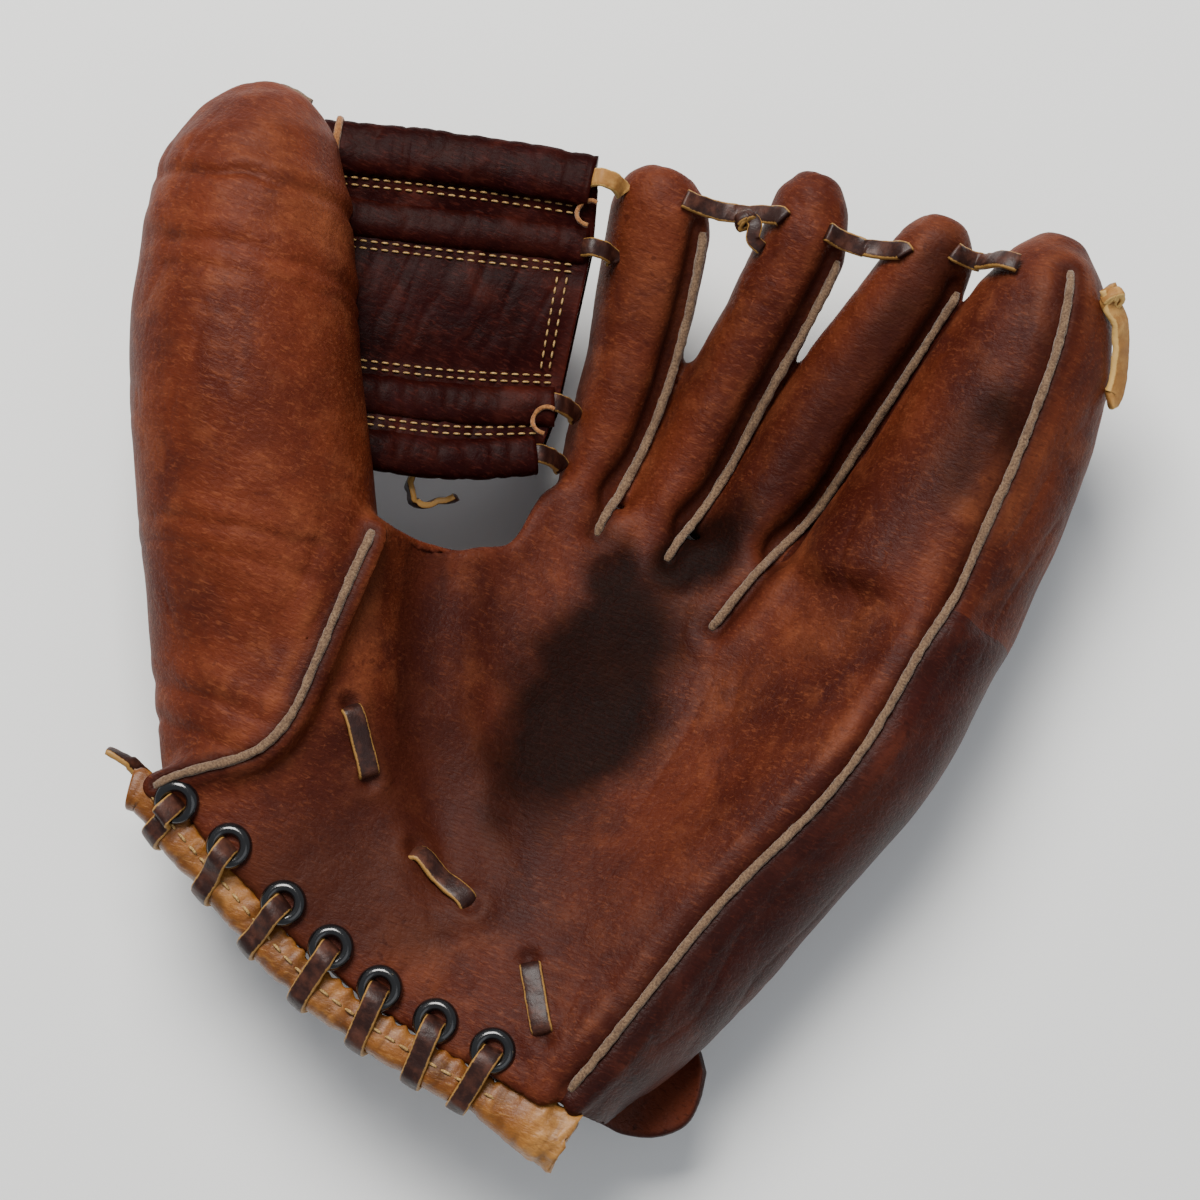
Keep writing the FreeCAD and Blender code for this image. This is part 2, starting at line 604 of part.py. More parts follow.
for k, line in enumerate((
    ((-49, 104.5, 68.5), (-43, 106, 67), (-36, 107, 62.5)),
    ((-45, 87, 61.5), (-39, 88.5, 60), (-32, 90, 55.5)),
    ((-39.5, 45, 57), (-33.5, 46, 52), (-27, 48, 39)),
    ((-38, 29.5, 55.5), (-32.5, 31, 50.5), (-25.5, 33.5, 37.5)),
)):
    ties.append(lace(f"web_index_tie_{k + 1}", [at(*point) for point in line], V(0, 1, 0)))
keep(group("web_index_laces", ties))
keep(lace("web_thumb_lace", [
    at(-98, 80, 47), at(-86, 58, 43), at(-75, 34, 39), at(-67, 16, 38)], V(0, 0, 1)))
keep(lace("web_lace_tail", [at(-61, 11, 43), at(-57.5, 7, 39), at(-53, 9.5, 37), at(-51, 14.5, 37)], V(0, 1, 1)))

# ---------------------------------------------------------------- check and write
doc.recompute()
for item in doc.Objects:
    if "Invalid" in item.State or "Error" in item.State:
        raise RuntimeError(f"{item.Label} did not rebuild")
for piece in nodes:
    if piece.Shape.isNull() or not piece.Shape.isValid():
        raise RuntimeError(f"{piece.Label} has no valid shape")
    piece.Shape.exportStep(f"parts/{piece.Label}.step")
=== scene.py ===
"""The look of the fielder's glove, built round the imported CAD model.

Shapes are worked out in millimetres in the row frame and turned into metres when an
object is made. The skins of the hand and thumb come from one smooth volume made from
the CAD solids, which is then parted along the seams. Everything that lies on the
leather finds its place on those skins.
"""
import itertools
import math

import bpy
import numpy as np
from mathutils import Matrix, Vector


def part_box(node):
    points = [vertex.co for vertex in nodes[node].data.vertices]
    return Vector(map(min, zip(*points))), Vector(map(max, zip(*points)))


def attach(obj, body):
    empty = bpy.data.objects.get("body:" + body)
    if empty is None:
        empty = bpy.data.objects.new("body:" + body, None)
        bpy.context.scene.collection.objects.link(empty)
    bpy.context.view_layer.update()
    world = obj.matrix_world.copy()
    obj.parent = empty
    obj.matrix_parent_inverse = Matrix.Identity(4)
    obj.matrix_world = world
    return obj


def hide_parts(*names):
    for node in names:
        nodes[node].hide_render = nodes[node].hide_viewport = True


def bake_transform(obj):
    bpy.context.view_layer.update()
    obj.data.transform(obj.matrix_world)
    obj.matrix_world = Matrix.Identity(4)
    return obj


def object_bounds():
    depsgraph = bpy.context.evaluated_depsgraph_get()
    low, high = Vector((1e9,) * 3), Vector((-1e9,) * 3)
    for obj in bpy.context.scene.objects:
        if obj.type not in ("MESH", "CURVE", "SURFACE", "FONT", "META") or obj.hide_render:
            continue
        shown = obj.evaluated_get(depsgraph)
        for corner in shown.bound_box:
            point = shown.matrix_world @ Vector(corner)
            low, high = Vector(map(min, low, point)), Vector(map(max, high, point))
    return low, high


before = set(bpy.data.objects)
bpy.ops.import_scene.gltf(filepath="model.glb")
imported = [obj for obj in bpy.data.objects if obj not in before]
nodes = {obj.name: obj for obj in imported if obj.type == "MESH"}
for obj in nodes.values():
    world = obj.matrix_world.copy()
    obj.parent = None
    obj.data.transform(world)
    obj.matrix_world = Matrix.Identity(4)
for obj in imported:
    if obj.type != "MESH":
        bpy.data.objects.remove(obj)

import openvdb
from mathutils import Vector
from mathutils.bvhtree import BVHTree

PITCH = 1.0  # spacing of the shape's samples
BAND = 12.0  # how far from a surface distances are kept
MARGIN = 14.0  # room round the CAD model in that grid
UP = np.array([0, 0, 1.0])

cad_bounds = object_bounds()
low_corner = np.array(cad_bounds[0]) * 1000
high_corner = np.array(cad_bounds[1]) * 1000
first_cell = np.floor((low_corner - MARGIN) / PITCH).astype(int)
cell_count = np.ceil((high_corner + MARGIN) / PITCH).astype(int) - first_cell + 1


# ---------------------------------------------------------------- numbers and noise
def smooth(low, high, value):
    """0 below low, 1 above high, and a smooth ramp between them."""
    t = np.clip((value - low) / (high - low), 0.0, 1.0)
    return t * t * (3 - 2 * t)


def noise(points, scale, seed):
    """Smooth noise from -1 to 1 with features about scale millimetres across."""
    place = np.asarray(points, float) / scale + seed * 7.31
    cell = np.floor(place).astype(np.int64)
    f = place - cell
    f = f * f * (3 - 2 * f)
    total = np.zeros(len(place))
    for corner in itertools.product((0, 1), repeat=3):
        c = cell + np.array(corner)
        h = (c[:, 0] * 73856093) ^ (c[:, 1] * 19349663) ^ (c[:, 2] * 83492791)
        h = (h ^ (h >> 13)) & 0xFFFFFF
        h = (h * 1103515245 + 12345) & 0x7FFFFFFF
        h = ((h ^ (h >> 11)) * 69069 + 1) & 0xFFFFFF
        weight = np.ones(len(place))
        for axis, one in enumerate(corner):
            weight *= f[:, axis] if one else 1 - f[:, axis]
        total += weight * (h / 0x7FFFFF - 1.0)
    return total


def ridges(points, scale, seed):
    """Noise from 0 to 1 that peaks along thin wandering lines, like fine creases."""
    return (1 - np.abs(noise(points, scale, seed))) ** 6


def unit(vectors):
    """Vectors made one long."""
    return vectors / np.maximum(np.linalg.norm(vectors, axis=-1, keepdims=True), 1e-9)


def evened(line, passes):
    """Smooths a line in place, with its ends kept."""
    for _ in range(passes):
        line[1:-1] = 0.25 * line[:-2] + 0.5 * line[1:-1] + 0.25 * line[2:]
    return line


def superellipse(around, power):
    """The cosines and sines of a full turn, squared off by a power."""
    turn = np.linspace(0, 2 * math.pi, around, endpoint=False)
    c, s = np.cos(turn), np.sin(turn)
    return turn, np.sign(c) * np.abs(c) ** power, np.sign(s) * np.abs(s) ** power


# ---------------------------------------------------------------- measuring the CAD model
def arrays_of(name):
    """A CAD node's vertices in millimetres and its triangles."""
    mesh = nodes[name].data
    mesh.calc_loop_triangles()
    points = np.empty(len(mesh.vertices) * 3, np.float32)
    mesh.vertices.foreach_get("co", points)
    tris = np.empty(len(mesh.loop_triangles) * 3, np.int32)
    mesh.loop_triangles.foreach_get("vertices", tris)
    return points.reshape(-1, 3).astype(float) * 1000, tris.reshape(-1, 3)


def islands(name):
    """The separate solids of a node, each as points and triangles, in order of x."""
    points, tris = arrays_of(name)
    _, same = np.unique(np.round(points, 3), axis=0, return_inverse=True)
    same = same.ravel()
    tris = same[tris]
    merged = np.zeros((same.max() + 1, 3))
    merged[same] = points
    label = np.arange(len(merged))
    while True:
        lowest = label[tris].min(axis=1)
        new = label.copy()
        for k in range(3):
            np.minimum.at(new, tris[:, k], lowest)
        new = new[new]
        if (new == label).all():
            break
        label = new
    parts = [(merged, tris[label[tris[:, 0]] == root]) for root in np.unique(label[tris])]
    return sorted(parts, key=lambda part: part[0][part[1].ravel(), 0].mean())


def centreline(points, tris, axis, count, inset=0.02):
    """Centres and half extents of slices across an axis, evenly spaced along it."""
    axis = unit(np.array(axis, float))
    height = points @ axis
    used = height[tris.ravel()]
    span = used.max() - used.min()
    centres, halves = [], []
    for level in np.linspace(used.min() + inset * span, used.max() - inset * span, count):
        crossing = []
        for a, b in ((0, 1), (1, 2), (2, 0)):
            ha, hb = height[tris[:, a]], height[tris[:, b]]
            hit = (ha - level) * (hb - level) < 0
            share = ((level - ha[hit]) / (hb[hit] - ha[hit]))[:, None]
            start, end = points[tris[hit, a]], points[tris[hit, b]]
            crossing.append(start + (end - start) * share)
        crossing = np.vstack(crossing)
        centres.append((crossing.min(0) + crossing.max(0)) / 2)
        halves.append((crossing.max(0) - crossing.min(0)) / 2)
    return np.array(centres), np.array(halves)


def line_of(name, axis, count):
    return centreline(*arrays_of(name), axis, count)


# ---------------------------------------------------------------- volumes
voxel_space = openvdb.createLinearTransform(voxelSize=PITCH)


def distance_volume(points, tris=None, quads=None, band=BAND):
    """Signed distances to a closed surface, in millimetres, on the shared grid."""
    kind, faces = ("triangles", tris) if tris is not None else ("quads", quads)
    grid = openvdb.FloatGrid.createLevelSetFromPolygons(
        points.astype(np.float32), transform=voxel_space, halfWidth=band / PITCH,
        **{kind: faces.astype(np.uint32)})
    dense = np.empty(tuple(cell_count), np.float32)
    grid.copyToArray(dense, ijk=tuple(int(v) for v in first_cell))
    return dense


def surface_of(dense):
    """Points and quads of a volume's zero surface."""
    grid = openvdb.FloatGrid(BAND)
    grid.copyFromArray(dense, ijk=tuple(int(v) for v in first_cell))
    grid.transform = voxel_space
    points, quads = grid.convertToQuads(isovalue=0.0)
    return np.asarray(points, float), np.asarray(quads, np.int64)[:, ::-1]


def blurred(dense, sigma):
    """A Gaussian blur, sigma in millimetres."""
    reach = int(math.ceil(2.5 * sigma / PITCH))
    taps = np.exp(-0.5 * (np.arange(-reach, reach + 1) * PITCH / sigma) ** 2)
    taps /= taps.sum()
    for axis in range(3):
        out = np.zeros_like(dense)
        for shift, tap in zip(range(-reach, reach + 1), taps):
            out += np.roll(dense, shift, axis=axis) * np.float32(tap)
        dense = out
    return dense


def sampled(dense, points):
    """Trilinear samples of a volume at points."""
    place = points / PITCH - first_cell
    cell = np.clip(np.floor(place).astype(int), 0, np.array(dense.shape) - 2)
    f = place - cell
    total = np.zeros(len(points))
    for corner in itertools.product((0, 1), repeat=3):
        c = cell + np.array(corner)
        weight = np.ones(len(points))
        for axis, one in enumerate(corner):
            weight *= f[:, axis] if one else 1 - f[:, axis]
        total += weight * dense[c[:, 0], c[:, 1], c[:, 2]]
    return total


def add_tube(dense, line, radius, reach=3.0):
    """Joins a round tube along a line into a volume, in place."""
    for point in line:
        low = np.maximum(np.floor((point - radius - reach) / PITCH).astype(int) - first_cell, 0)
        high = np.ceil((point + radius + reach) / PITCH).astype(int) - first_cell
        high = np.minimum(high, cell_count)
        x, y, z = [(np.arange(low[k], high[k]) + first_cell[k]) * PITCH - point[k] for k in range(3)]
        gap = np.sqrt(x[:, None, None] ** 2 + y[None, :, None] ** 2 + z[None, None, :] ** 2)
        part = dense[low[0]:high[0], low[1]:high[1], low[2]:high[2]]
        np.minimum(part, gap - radius, out=part)


def resampled(line, step):
    """A polyline with points evenly spaced along it."""
    run = np.concatenate([[0], np.cumsum(np.linalg.norm(np.diff(line, axis=0), axis=1))])
    at = np.linspace(0, run[-1], max(int(run[-1] / step), 2))
    return np.stack([np.interp(at, run, line[:, k]) for k in range(3)], axis=1)


def curved(points, count):
    """A smooth line through a few points."""
    points = np.array(points, float)
    padded = np.vstack([2 * points[0] - points[1], points, 2 * points[-1] - points[-2]])
    out = []
    for k in range(1, len(padded) - 2):
        p0, p1, p2, p3 = padded[k - 1:k + 3]
        for t in np.linspace(0, 1, count, endpoint=False):
            out.append(0.5 * (2 * p1 + (p2 - p0) * t + (2 * p0 - 5 * p1 + 4 * p2 - p3) * t * t
                              + (3 * p1 - p0 - 3 * p2 + p3) * t ** 3))
    out.append(points[-1])
    return np.array(out)


FINGERS = ("index", "middle", "ring", "pinky")
PALM_SKIN = ["palm_panel"] + [f"{name}_front" for name in FINGERS]
GROUPS = {
    "palm_and_finger_leather": PALM_SKIN,
    "outer_side_leather": ["outer_side_panel"],
    "back_leather": ["back_panel"],
    "crotch_leather": ["crotch_gusset"],
    "thumb_front_leather": ["thumb_front"],
    "thumb_back_leather": ["thumb_back"],
}
for finger in FINGERS:
    GROUPS[f"{finger}_back_leather"] = [f"{finger}_back"]
GROUPS["thumb_lining"] = ["thumb_stall_pad"]
GROUPS["hand_lining"] = ["palm_liner", "heel_liner", "back_liner", "palm_felt", "heel_pad",
                         "outer_side_pad"] + [f"{name}_stall_pad" for name in FINGERS]

# Each welt, the direction it is sliced along and the number of slices.
WELTS = (
    ("index_welt", (0, 1, 0), 60),
    ("middle_welt", (0, 1, 0), 60),
    ("ring_welt", (0, 1, 0), 70),
    ("pinky_welt", (0, 1, 0), 140),
    ("thumb_welt", (0, 1, 0), 50),
    ("thumb_tip_welt", (0.898, 0.44, 0), 30),
)
welt_lines = {}
for name, axis, count in WELTS:
    passes = 60 if name in ("index_welt", "middle_welt", "ring_welt") else 6
    welt_lines[name] = evened(resampled(line_of(name, axis, count)[0], 1.0), passes)


def joined_body():
    """The volume of hand and thumb, and the separate distances of the solids in it."""
    parts = {}
    whole = np.full(tuple(cell_count), BAND, np.float32)
    for name in [n for group in GROUPS.values() for n in group]:
        parts[name] = distance_volume(*arrays_of(name), band=6.0)
        np.minimum(whole, parts[name] - (0.7 if name == "crotch_gusset" else 0.0), out=whole)
    below = np.array([0, 0, -5.0])
    add_tube(whole, welt_lines["pinky_welt"] + below, 4.2)
    add_tube(whole, welt_lines["thumb_welt"] + below, 4.0)
    # The ring finger's side lies against the little finger up to about its middle joint.
    seam_line = welt_lines["ring_welt"]
    add_tube(whole, seam_line[(seam_line[:, 1] > 26) & (seam_line[:, 1] < 92)] + (3.5, -1.5, -13.0), 5.0)
    # Growing by 0.8 mm and shrinking again closes the thin gaps between the layers.
    points, quads = surface_of(whole - np.float32(0.8))
    whole = distance_volume(points, quads=quads) + np.float32(0.8)
    # The step where the finger stalls leave the palm becomes a soft slope.
    palm_end = arrays_of("palm_panel")[0][:, 1].max()
    y = (np.arange(cell_count[1]) + first_cell[1]) * PITCH
    near = np.exp(-0.5 * ((y - palm_end - 3) / 11.0) ** 2)[None, :, None].astype(np.float32)
    return blurred(whole, 1.3) * (1 - near) + blurred(whole, 3.4) * near, parts


# ---------------------------------------------------------------- meshes
def triangles(quads):
    return np.vstack([quads[:, [0, 1, 2]], quads[:, [0, 2, 3]]])


def vertex_normals(points, tris):
    a, b, c = points[tris[:, 0]], points[tris[:, 1]], points[tris[:, 2]]
    face = np.cross(b - a, c - a)
    out = np.zeros_like(points)
    for k in range(3):
        for axis in range(3):
            out[:, axis] += np.bincount(tris[:, k], face[:, axis], len(points))
    return unit(out)


def split(points, tris, values, side):
    """Cuts a triangle mesh where side is 0. Returns its (negative part, positive part)."""
    inside = side < 0
    count = inside[tris].sum(axis=1)
    keep = [tris[count == 3]], [tris[count == 0]]
    edges_a, edges_b = [], []
    mixed = []
    for lone_inside, wanted in ((True, 1), (False, 2)):
        some = tris[count == wanted]
        if not len(some):
            continue
        lone = (inside[some] == lone_inside).argmax(axis=1)
        rows = np.arange(len(some))
        a, b, c = some[rows, lone], some[rows, (lone + 1) % 3], some[rows, (lone + 2) % 3]
        mixed.append((lone_inside, a, b, c))
        edges_a += [a, a]
        edges_b += [b, c]
    start, end = np.concatenate(edges_a), np.concatenate(edges_b)
    pairs = np.stack([np.minimum(start, end), np.maximum(start, end)], axis=1)
    unique, where = np.unique(pairs, axis=0, return_inverse=True)
    where = where.ravel() + len(points)
    first, last = side[unique[:, 0]], side[unique[:, 1]]
    share = np.clip(first / (first - last), 0.02, 0.98)
    added = points[unique[:, 0]] * (1 - share)[:, None] + points[unique[:, 1]] * share[:, None]
    points = np.vstack([points, added])
    values = {k: np.concatenate([v, v[unique[:, 0]] * (1 - share) + v[unique[:, 1]] * share])
              for k, v in values.items()}
    at = 0
    for lone_inside, a, b, c in mixed:
        ab, ac = where[at:at + len(a)], where[at + len(a):at + 2 * len(a)]
        at += 2 * len(a)
        keep[0 if lone_inside else 1].append(np.stack([a, ab, ac], axis=1))
        rest = keep[1 if lone_inside else 0]
        rest.append(np.stack([ab, b, c], axis=1))
        rest.append(np.stack([ab, c, ac], axis=1))
    return [compact(points, np.vstack(part), values) for part in keep]


def compact(points, tris, values):
    """Drops the points that no triangle uses."""
    used, again = np.unique(tris, return_inverse=True)
    return points[used], again.reshape(-1, 3), {k: v[used] for k, v in values.items()}


def make(name, points, tris, values=None, material=None, stands_for=(), moves="hand"):
    """Makes one named piece of the glove from points in millimetres."""
    mesh = bpy.data.meshes.new(name)
    mesh.vertices.add(len(points))
    mesh.vertices.foreach_set("co", (np.asarray(points) / 1000).astype(np.float32).ravel())
    mesh.loops.add(len(tris) * 3)
    mesh.loops.foreach_set("vertex_index", np.asarray(tris).astype(np.int32).ravel())
    mesh.polygons.add(len(tris))
    mesh.polygons.foreach_set("loop_start", np.arange(0, len(tris) * 3, 3, dtype=np.int32))
    mesh.update(calc_edges=True)
    mesh.validate()
    mesh.shade_smooth()
    for key, value in (values or {}).items():
        mesh.attributes.new(key, "FLOAT", "POINT").data.foreach_set("value", value.astype(np.float32))
    piece = bpy.data.objects.new(name, mesh)
    bpy.context.scene.collection.objects.link(piece)
    mesh.materials.append(material)
    if stands_for:
        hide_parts(*stands_for)
    if moves == "blend":
        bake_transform(piece)
    else:
        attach(piece, moves)
    return piece


def merged(parts):
    """Several (points, triangles, values) as one."""
    points, tris, values, total = [], [], {}, 0
    for p, t, v in parts:
        points.append(p)
        tris.append(t + total)
        total += len(p)
        for key, value in v.items():
            values.setdefault(key, []).append(value)
    return np.vstack(points), np.vstack(tris), {k: np.concatenate(v) for k, v in values.items()}


def along_line(line):
    """Unit tangents and the running length of a polyline."""
    tangent = unit(np.gradient(line, axis=0))
    run = np.concatenate([[0], np.cumsum(np.linalg.norm(np.diff(line, axis=0), axis=1))])
    return tangent, run


def closed_tube(rings, start, end):
    """The mesh through rings of points, closed by a point in the middle of each end."""
    count, around = rings.shape[:2]
    i = np.arange(count - 1)[:, None] * around
    j = np.arange(around)[None, :]
    k = (j + 1) % around
    last = (count - 1) * around
    middle = np.full(around, count * around)
    tris = [
        np.stack([i + j, i + around + k, i + k], -1).reshape(-1, 3),
        np.stack([i + j, i + around + j, i + around + k], -1).reshape(-1, 3),
        np.stack([middle, j[0], k[0]], -1),
        np.stack([middle + 1, last + k[0], last + j[0]], -1),
    ]
    return np.vstack([rings.reshape(-1, 3), start[None], end[None]]), np.vstack(tris)


def ribbon(line, out, half_width, half_thick, square=2.0, around=16):
    """A strap, cord or roll along a line. out is the way its flat face looks at each point."""
    line = np.asarray(line, float)
    tangent, run = along_line(line)
    out = np.broadcast_to(np.asarray(out, float), line.shape)
    side = unit(np.cross(tangent, out))
    out = unit(np.cross(side, tangent))
    half_width = np.broadcast_to(half_width, len(line))[:, None]
    half_thick = np.broadcast_to(half_thick, len(line))[:, None]
    _, c, s = superellipse(around, 2 / square)
    rings = (line[:, None, :] + side[:, None, :] * (half_width * c)[:, :, None]
             + out[:, None, :] * (half_thick * s)[:, :, None])
    count = len(line)
    points, tris = closed_tube(rings, line[0], line[-1])
    values = {
        "across": np.append(np.tile(c, count), [0, 0]),
        "height": np.append(np.tile(s, count), [0, 0]),
        "along": np.append(np.repeat(run, around), [run[0], run[-1]]),
    }
    return points, tris, values


def roughened(part, amount, scale, seed):
    """Moves a piece's points along their normals by noise."""
    points, tris, values = part
    move = noise(points, scale, seed) + 0.5 * noise(points, scale / 2.3, seed + 1)
    return points + vertex_normals(points, tris) * (move * amount)[:, None], tris, values


def stitches(line, out, length, gap, radius, sink=0.15):
    """A row of thread stitches lying on a surface along a line."""
    tangent, run = along_line(line)
    out = np.broadcast_to(np.asarray(out, float), line.shape)
    parts = []
    for start in np.arange(gap, run[-1] - length, length + gap):
        at = np.linspace(start, start + length, 6)
        lift = np.sin(np.linspace(0.12, math.pi - 0.12, 6)) * radius * 1.2 - sink
        points = np.stack([np.interp(at, run, line[:, k]) for k in range(3)], axis=1)
        ups = unit(np.stack([np.interp(at, run, out[:, k]) for k in range(3)], axis=1))
        thick = radius * np.array([0.55, 0.95, 1.0, 1.0, 0.95, 0.55])
        parts.append(ribbon(points + ups * lift[:, None], ups, thick, thick, around=7))
    return merged(parts)


# ---------------------------------------------------------------- materials
def new_tree(name):
    material = bpy.data.materials.new(name)
    material.use_nodes = True
    tree = material.node_tree
    tree.nodes.clear()
    shader = tree.nodes.new("ShaderNodeBsdfPrincipled")
    output = tree.nodes.new("ShaderNodeOutputMaterial")
    tree.links.new(shader.outputs[0], output.inputs[0])
    return material, tree, shader


def fill_in(tree, node, inputs):
    """Sets a node's inputs to values, or links them to other nodes' outputs."""
    for key, value in inputs.items():
        if isinstance(value, bpy.types.NodeSocket):
            tree.links.new(value, node.inputs[key])
        else:
            node.inputs[key].default_value = value


def put(tree, kind, out=0, inputs=None, **settings):
    """Adds a node with its inputs filled in, and returns one of its outputs."""
    node = tree.nodes.new(kind)
    for key, value in settings.items():
        setattr(node, key, value)
    fill_in(tree, node, inputs or {})
    return node.outputs[out]


def attribute(tree, name):
    return put(tree, "ShaderNodeAttribute", "Fac", attribute_name=name)


def maths(tree, operation, a, b=0.0, clamp=False):
    return put(tree, "ShaderNodeMath", 0, {0: a, 1: b}, operation=operation, use_clamp=clamp)


def blend_colours(tree, factor, a, b, kind="MIX"):
    return put(tree, "ShaderNodeMix", 2, {0: factor, 6: a, 7: b}, data_type="RGBA", blend_type=kind)


def ramp(tree, value, low, high, to_low=0.0, to_high=1.0):
    return put(tree, "ShaderNodeMapRange", 0,
               {"Value": value, "From Min": low, "From Max": high, "To Min": to_low, "To Max": to_high},
               interpolation_type="SMOOTHSTEP")


def texture_noise(tree, place, scale, detail=4.0, rough=0.55, warp=0.0):
    inputs = {"Vector": place, "Scale": scale, "Detail": detail, "Roughness": rough, "Distortion": warp}
    return put(tree, "ShaderNodeTexNoise", 0, inputs)


def stretched(tree, place, scale):
    return put(tree, "ShaderNodeMapping", 0, {"Vector": place, "Scale": scale})


def bump(tree, height, strength, distance, normal=None):
    inputs = {"Height": height, "Strength": strength, "Distance": distance}
    if normal is not None:
        inputs["Normal"] = normal
    return put(tree, "ShaderNodeBump", 0, inputs)


def colour(*channels):
    """An 8-bit sRGB colour as a linear one."""
    shares = [v / 255 for v in channels]
    return tuple(((v + 0.055) / 1.055) ** 2.4 if v > 0.04 else v / 12.92 for v in shares) + (1.0,)


def leather(name, deep, main, worn, rough=0.48, grain=1.0, coat=0.0, scratches=1.0, shine=0.16):
    """Worn, oiled glove leather: mottles, pebble grain, scratches, stains, seam dirt and painted shade.
    """
    material, tree, shader = new_tree(name)
    place = put(tree, "ShaderNodeTexCoord", "Object")
    broad = texture_noise(tree, place, 28.0, 5.0, 0.6, 0.4)
    cloud = texture_noise(tree, place, 95.0, 5.0, 0.62, 0.3)
    fine = texture_noise(tree, place, 900.0, 3.0, 0.6)
    pebble = put(tree, "ShaderNodeTexVoronoi", "Distance", {"Vector": place, "Scale": 820.0},
                 feature="SMOOTH_F1")
    wander = put(tree, "ShaderNodeTexNoise", "Color", {"Vector": place, "Scale": 160.0, "Detail": 2.0})
    bent = put(tree, "ShaderNodeMix", 1, {0: 0.006, 4: place, 5: wander}, data_type="VECTOR")
    creases = put(tree, "ShaderNodeTexVoronoi", "Distance",
                  {"Vector": stretched(tree, bent, (330.0, 470.0, 390.0)), "Scale": 1.0},
                  feature="DISTANCE_TO_EDGE")
    streak_place = stretched(tree, place, (620.0, 90.0, 300.0))
    streaks = texture_noise(tree, streak_place, 1.0, 3.0, 0.7, 1.2)
    cross_place = stretched(tree, place, (70.0, 520.0, 300.0))
    cross = texture_noise(tree, cross_place, 1.0, 3.0, 0.7, 1.5)
    wrinkle_place = stretched(tree, place, (330.0, 1250.0, 800.0))
    wrinkles = texture_noise(tree, wrinkle_place, 1.0, 4.0, 0.65, 0.8)
    bruise = texture_noise(tree, stretched(tree, place, (70.0, 55.0, 60.0)), 1.0, 4.0, 0.6, 0.6)

    tone = blend_colours(tree, ramp(tree, broad, 0.3, 0.7), deep, main)
    light = maths(tree, "MULTIPLY", ramp(tree, cloud, 0.46, 0.74), 0.3)
    light = maths(tree, "ADD", light, attribute(tree, "wear"), clamp=True)
    tone = blend_colours(tree, light, tone, worn)
    scuffs = maths(tree, "ADD", ramp(tree, streaks, 0.66, 0.78), ramp(tree, cross, 0.68, 0.8), clamp=True)
    scuffs = maths(tree, "MULTIPLY", scuffs, 0.42 * scratches)
    tone = blend_colours(tree, scuffs, tone, worn)
    specks = put(tree, "ShaderNodeTexNoise", 0, {"Vector": place, "Scale": 260.0, "Detail": 1.0})
    for pattern, low, high, strength, tint in (
        (bruise, 0.52, 0.72, 0.42, colour(48, 20, 21)),
        (wrinkles, 0.52, 0.68, 0.34, worn),
        (wrinkles, 0.46, 0.34, 0.4, deep),
        (specks, 0.7, 0.76, 0.5, deep),
    ):
        amount = maths(tree, "MULTIPLY", ramp(tree, pattern, low, high), strength)
        tone = blend_colours(tree, amount, tone, tint)
    # Dirt at the seams and painted shade in hollows, on upward faces and in blots darken the tone towards
    # a deep red-brown.
    dirt_and_shade_amount = maths(tree, "MULTIPLY", attribute(tree, "dirt_and_shade"), 0.75)
    tone = blend_colours(tree, dirt_and_shade_amount, tone, colour(40, 12, 7))
    # Stains darken the tone nearly to black; on the web rolls this also carries a little painted shade in
    # the folds.
    stain_and_shade = maths(tree, "ADD", attribute(tree, "stain_and_shade"),
                  maths(tree, "MULTIPLY", maths(tree, "SUBTRACT", cloud, 0.5), 0.5))
    stain_and_shade = maths(tree, "MULTIPLY", ramp(tree, stain_and_shade, 0.06, 0.92), 0.93)
    tone = blend_colours(tree, stain_and_shade, tone, colour(17, 8, 6))
    tone = blend_colours(tree, maths(tree, "MULTIPLY", ramp(tree, creases, 0.07, 0.0), 0.12), tone, deep)
    gloss = maths(tree, "ADD", maths(tree, "MULTIPLY", broad, 0.22), maths(tree, "MULTIPLY", fine, 0.16))
    gloss = maths(tree, "ADD", gloss, rough - 0.18)
    normal = bump(tree, ramp(tree, creases, 0.0, 0.14), 0.16 * grain, 0.00022)
    for height, strength, distance in (
        (pebble, 0.28 * grain, 0.0003),
        (wrinkles, 0.55 * grain, 0.00035),
        (fine, 0.25 * grain, 0.00025),
        (cloud, 0.35, 0.0012),
    ):
        normal = bump(tree, height, strength, distance, normal)
    fill_in(tree, shader, {
        "Base Color": tone,
        "Roughness": gloss,
        "Specular IOR Level": ramp(tree, stain_and_shade, 0.0, 0.9, shine, 0.3 * shine),
        "Coat Weight": coat,
        "Coat Roughness": 0.35,
        "Normal": normal,
    })
    return material


def raw_leather(name, base, fibre, rough=0.85, scale=1.0):
    """Fuzzy raw leather edge or suede."""
    material, tree, shader = new_tree(name)
    place = put(tree, "ShaderNodeTexCoord", "Object")
    fuzz = texture_noise(tree, place, 1500.0 * scale, 4.0, 0.7)
    patch = texture_noise(tree, place, 220.0 * scale, 4.0, 0.6)
    tone = blend_colours(tree, ramp(tree, fuzz, 0.3, 0.7), base, fibre)
    dark = maths(tree, "MULTIPLY", ramp(tree, patch, 0.45, 0.75), 0.5)
    tone = blend_colours(tree, dark, tone, colour(74, 50, 34))
    fill_in(tree, shader, {
        "Base Color": tone,
        "Roughness": rough,
        "Sheen Weight": 0.25,
        "Sheen Roughness": 0.4,
        "Normal": bump(tree, patch, 0.5, 0.0008, bump(tree, fuzz, 0.8, 0.0005)),
    })
    return material


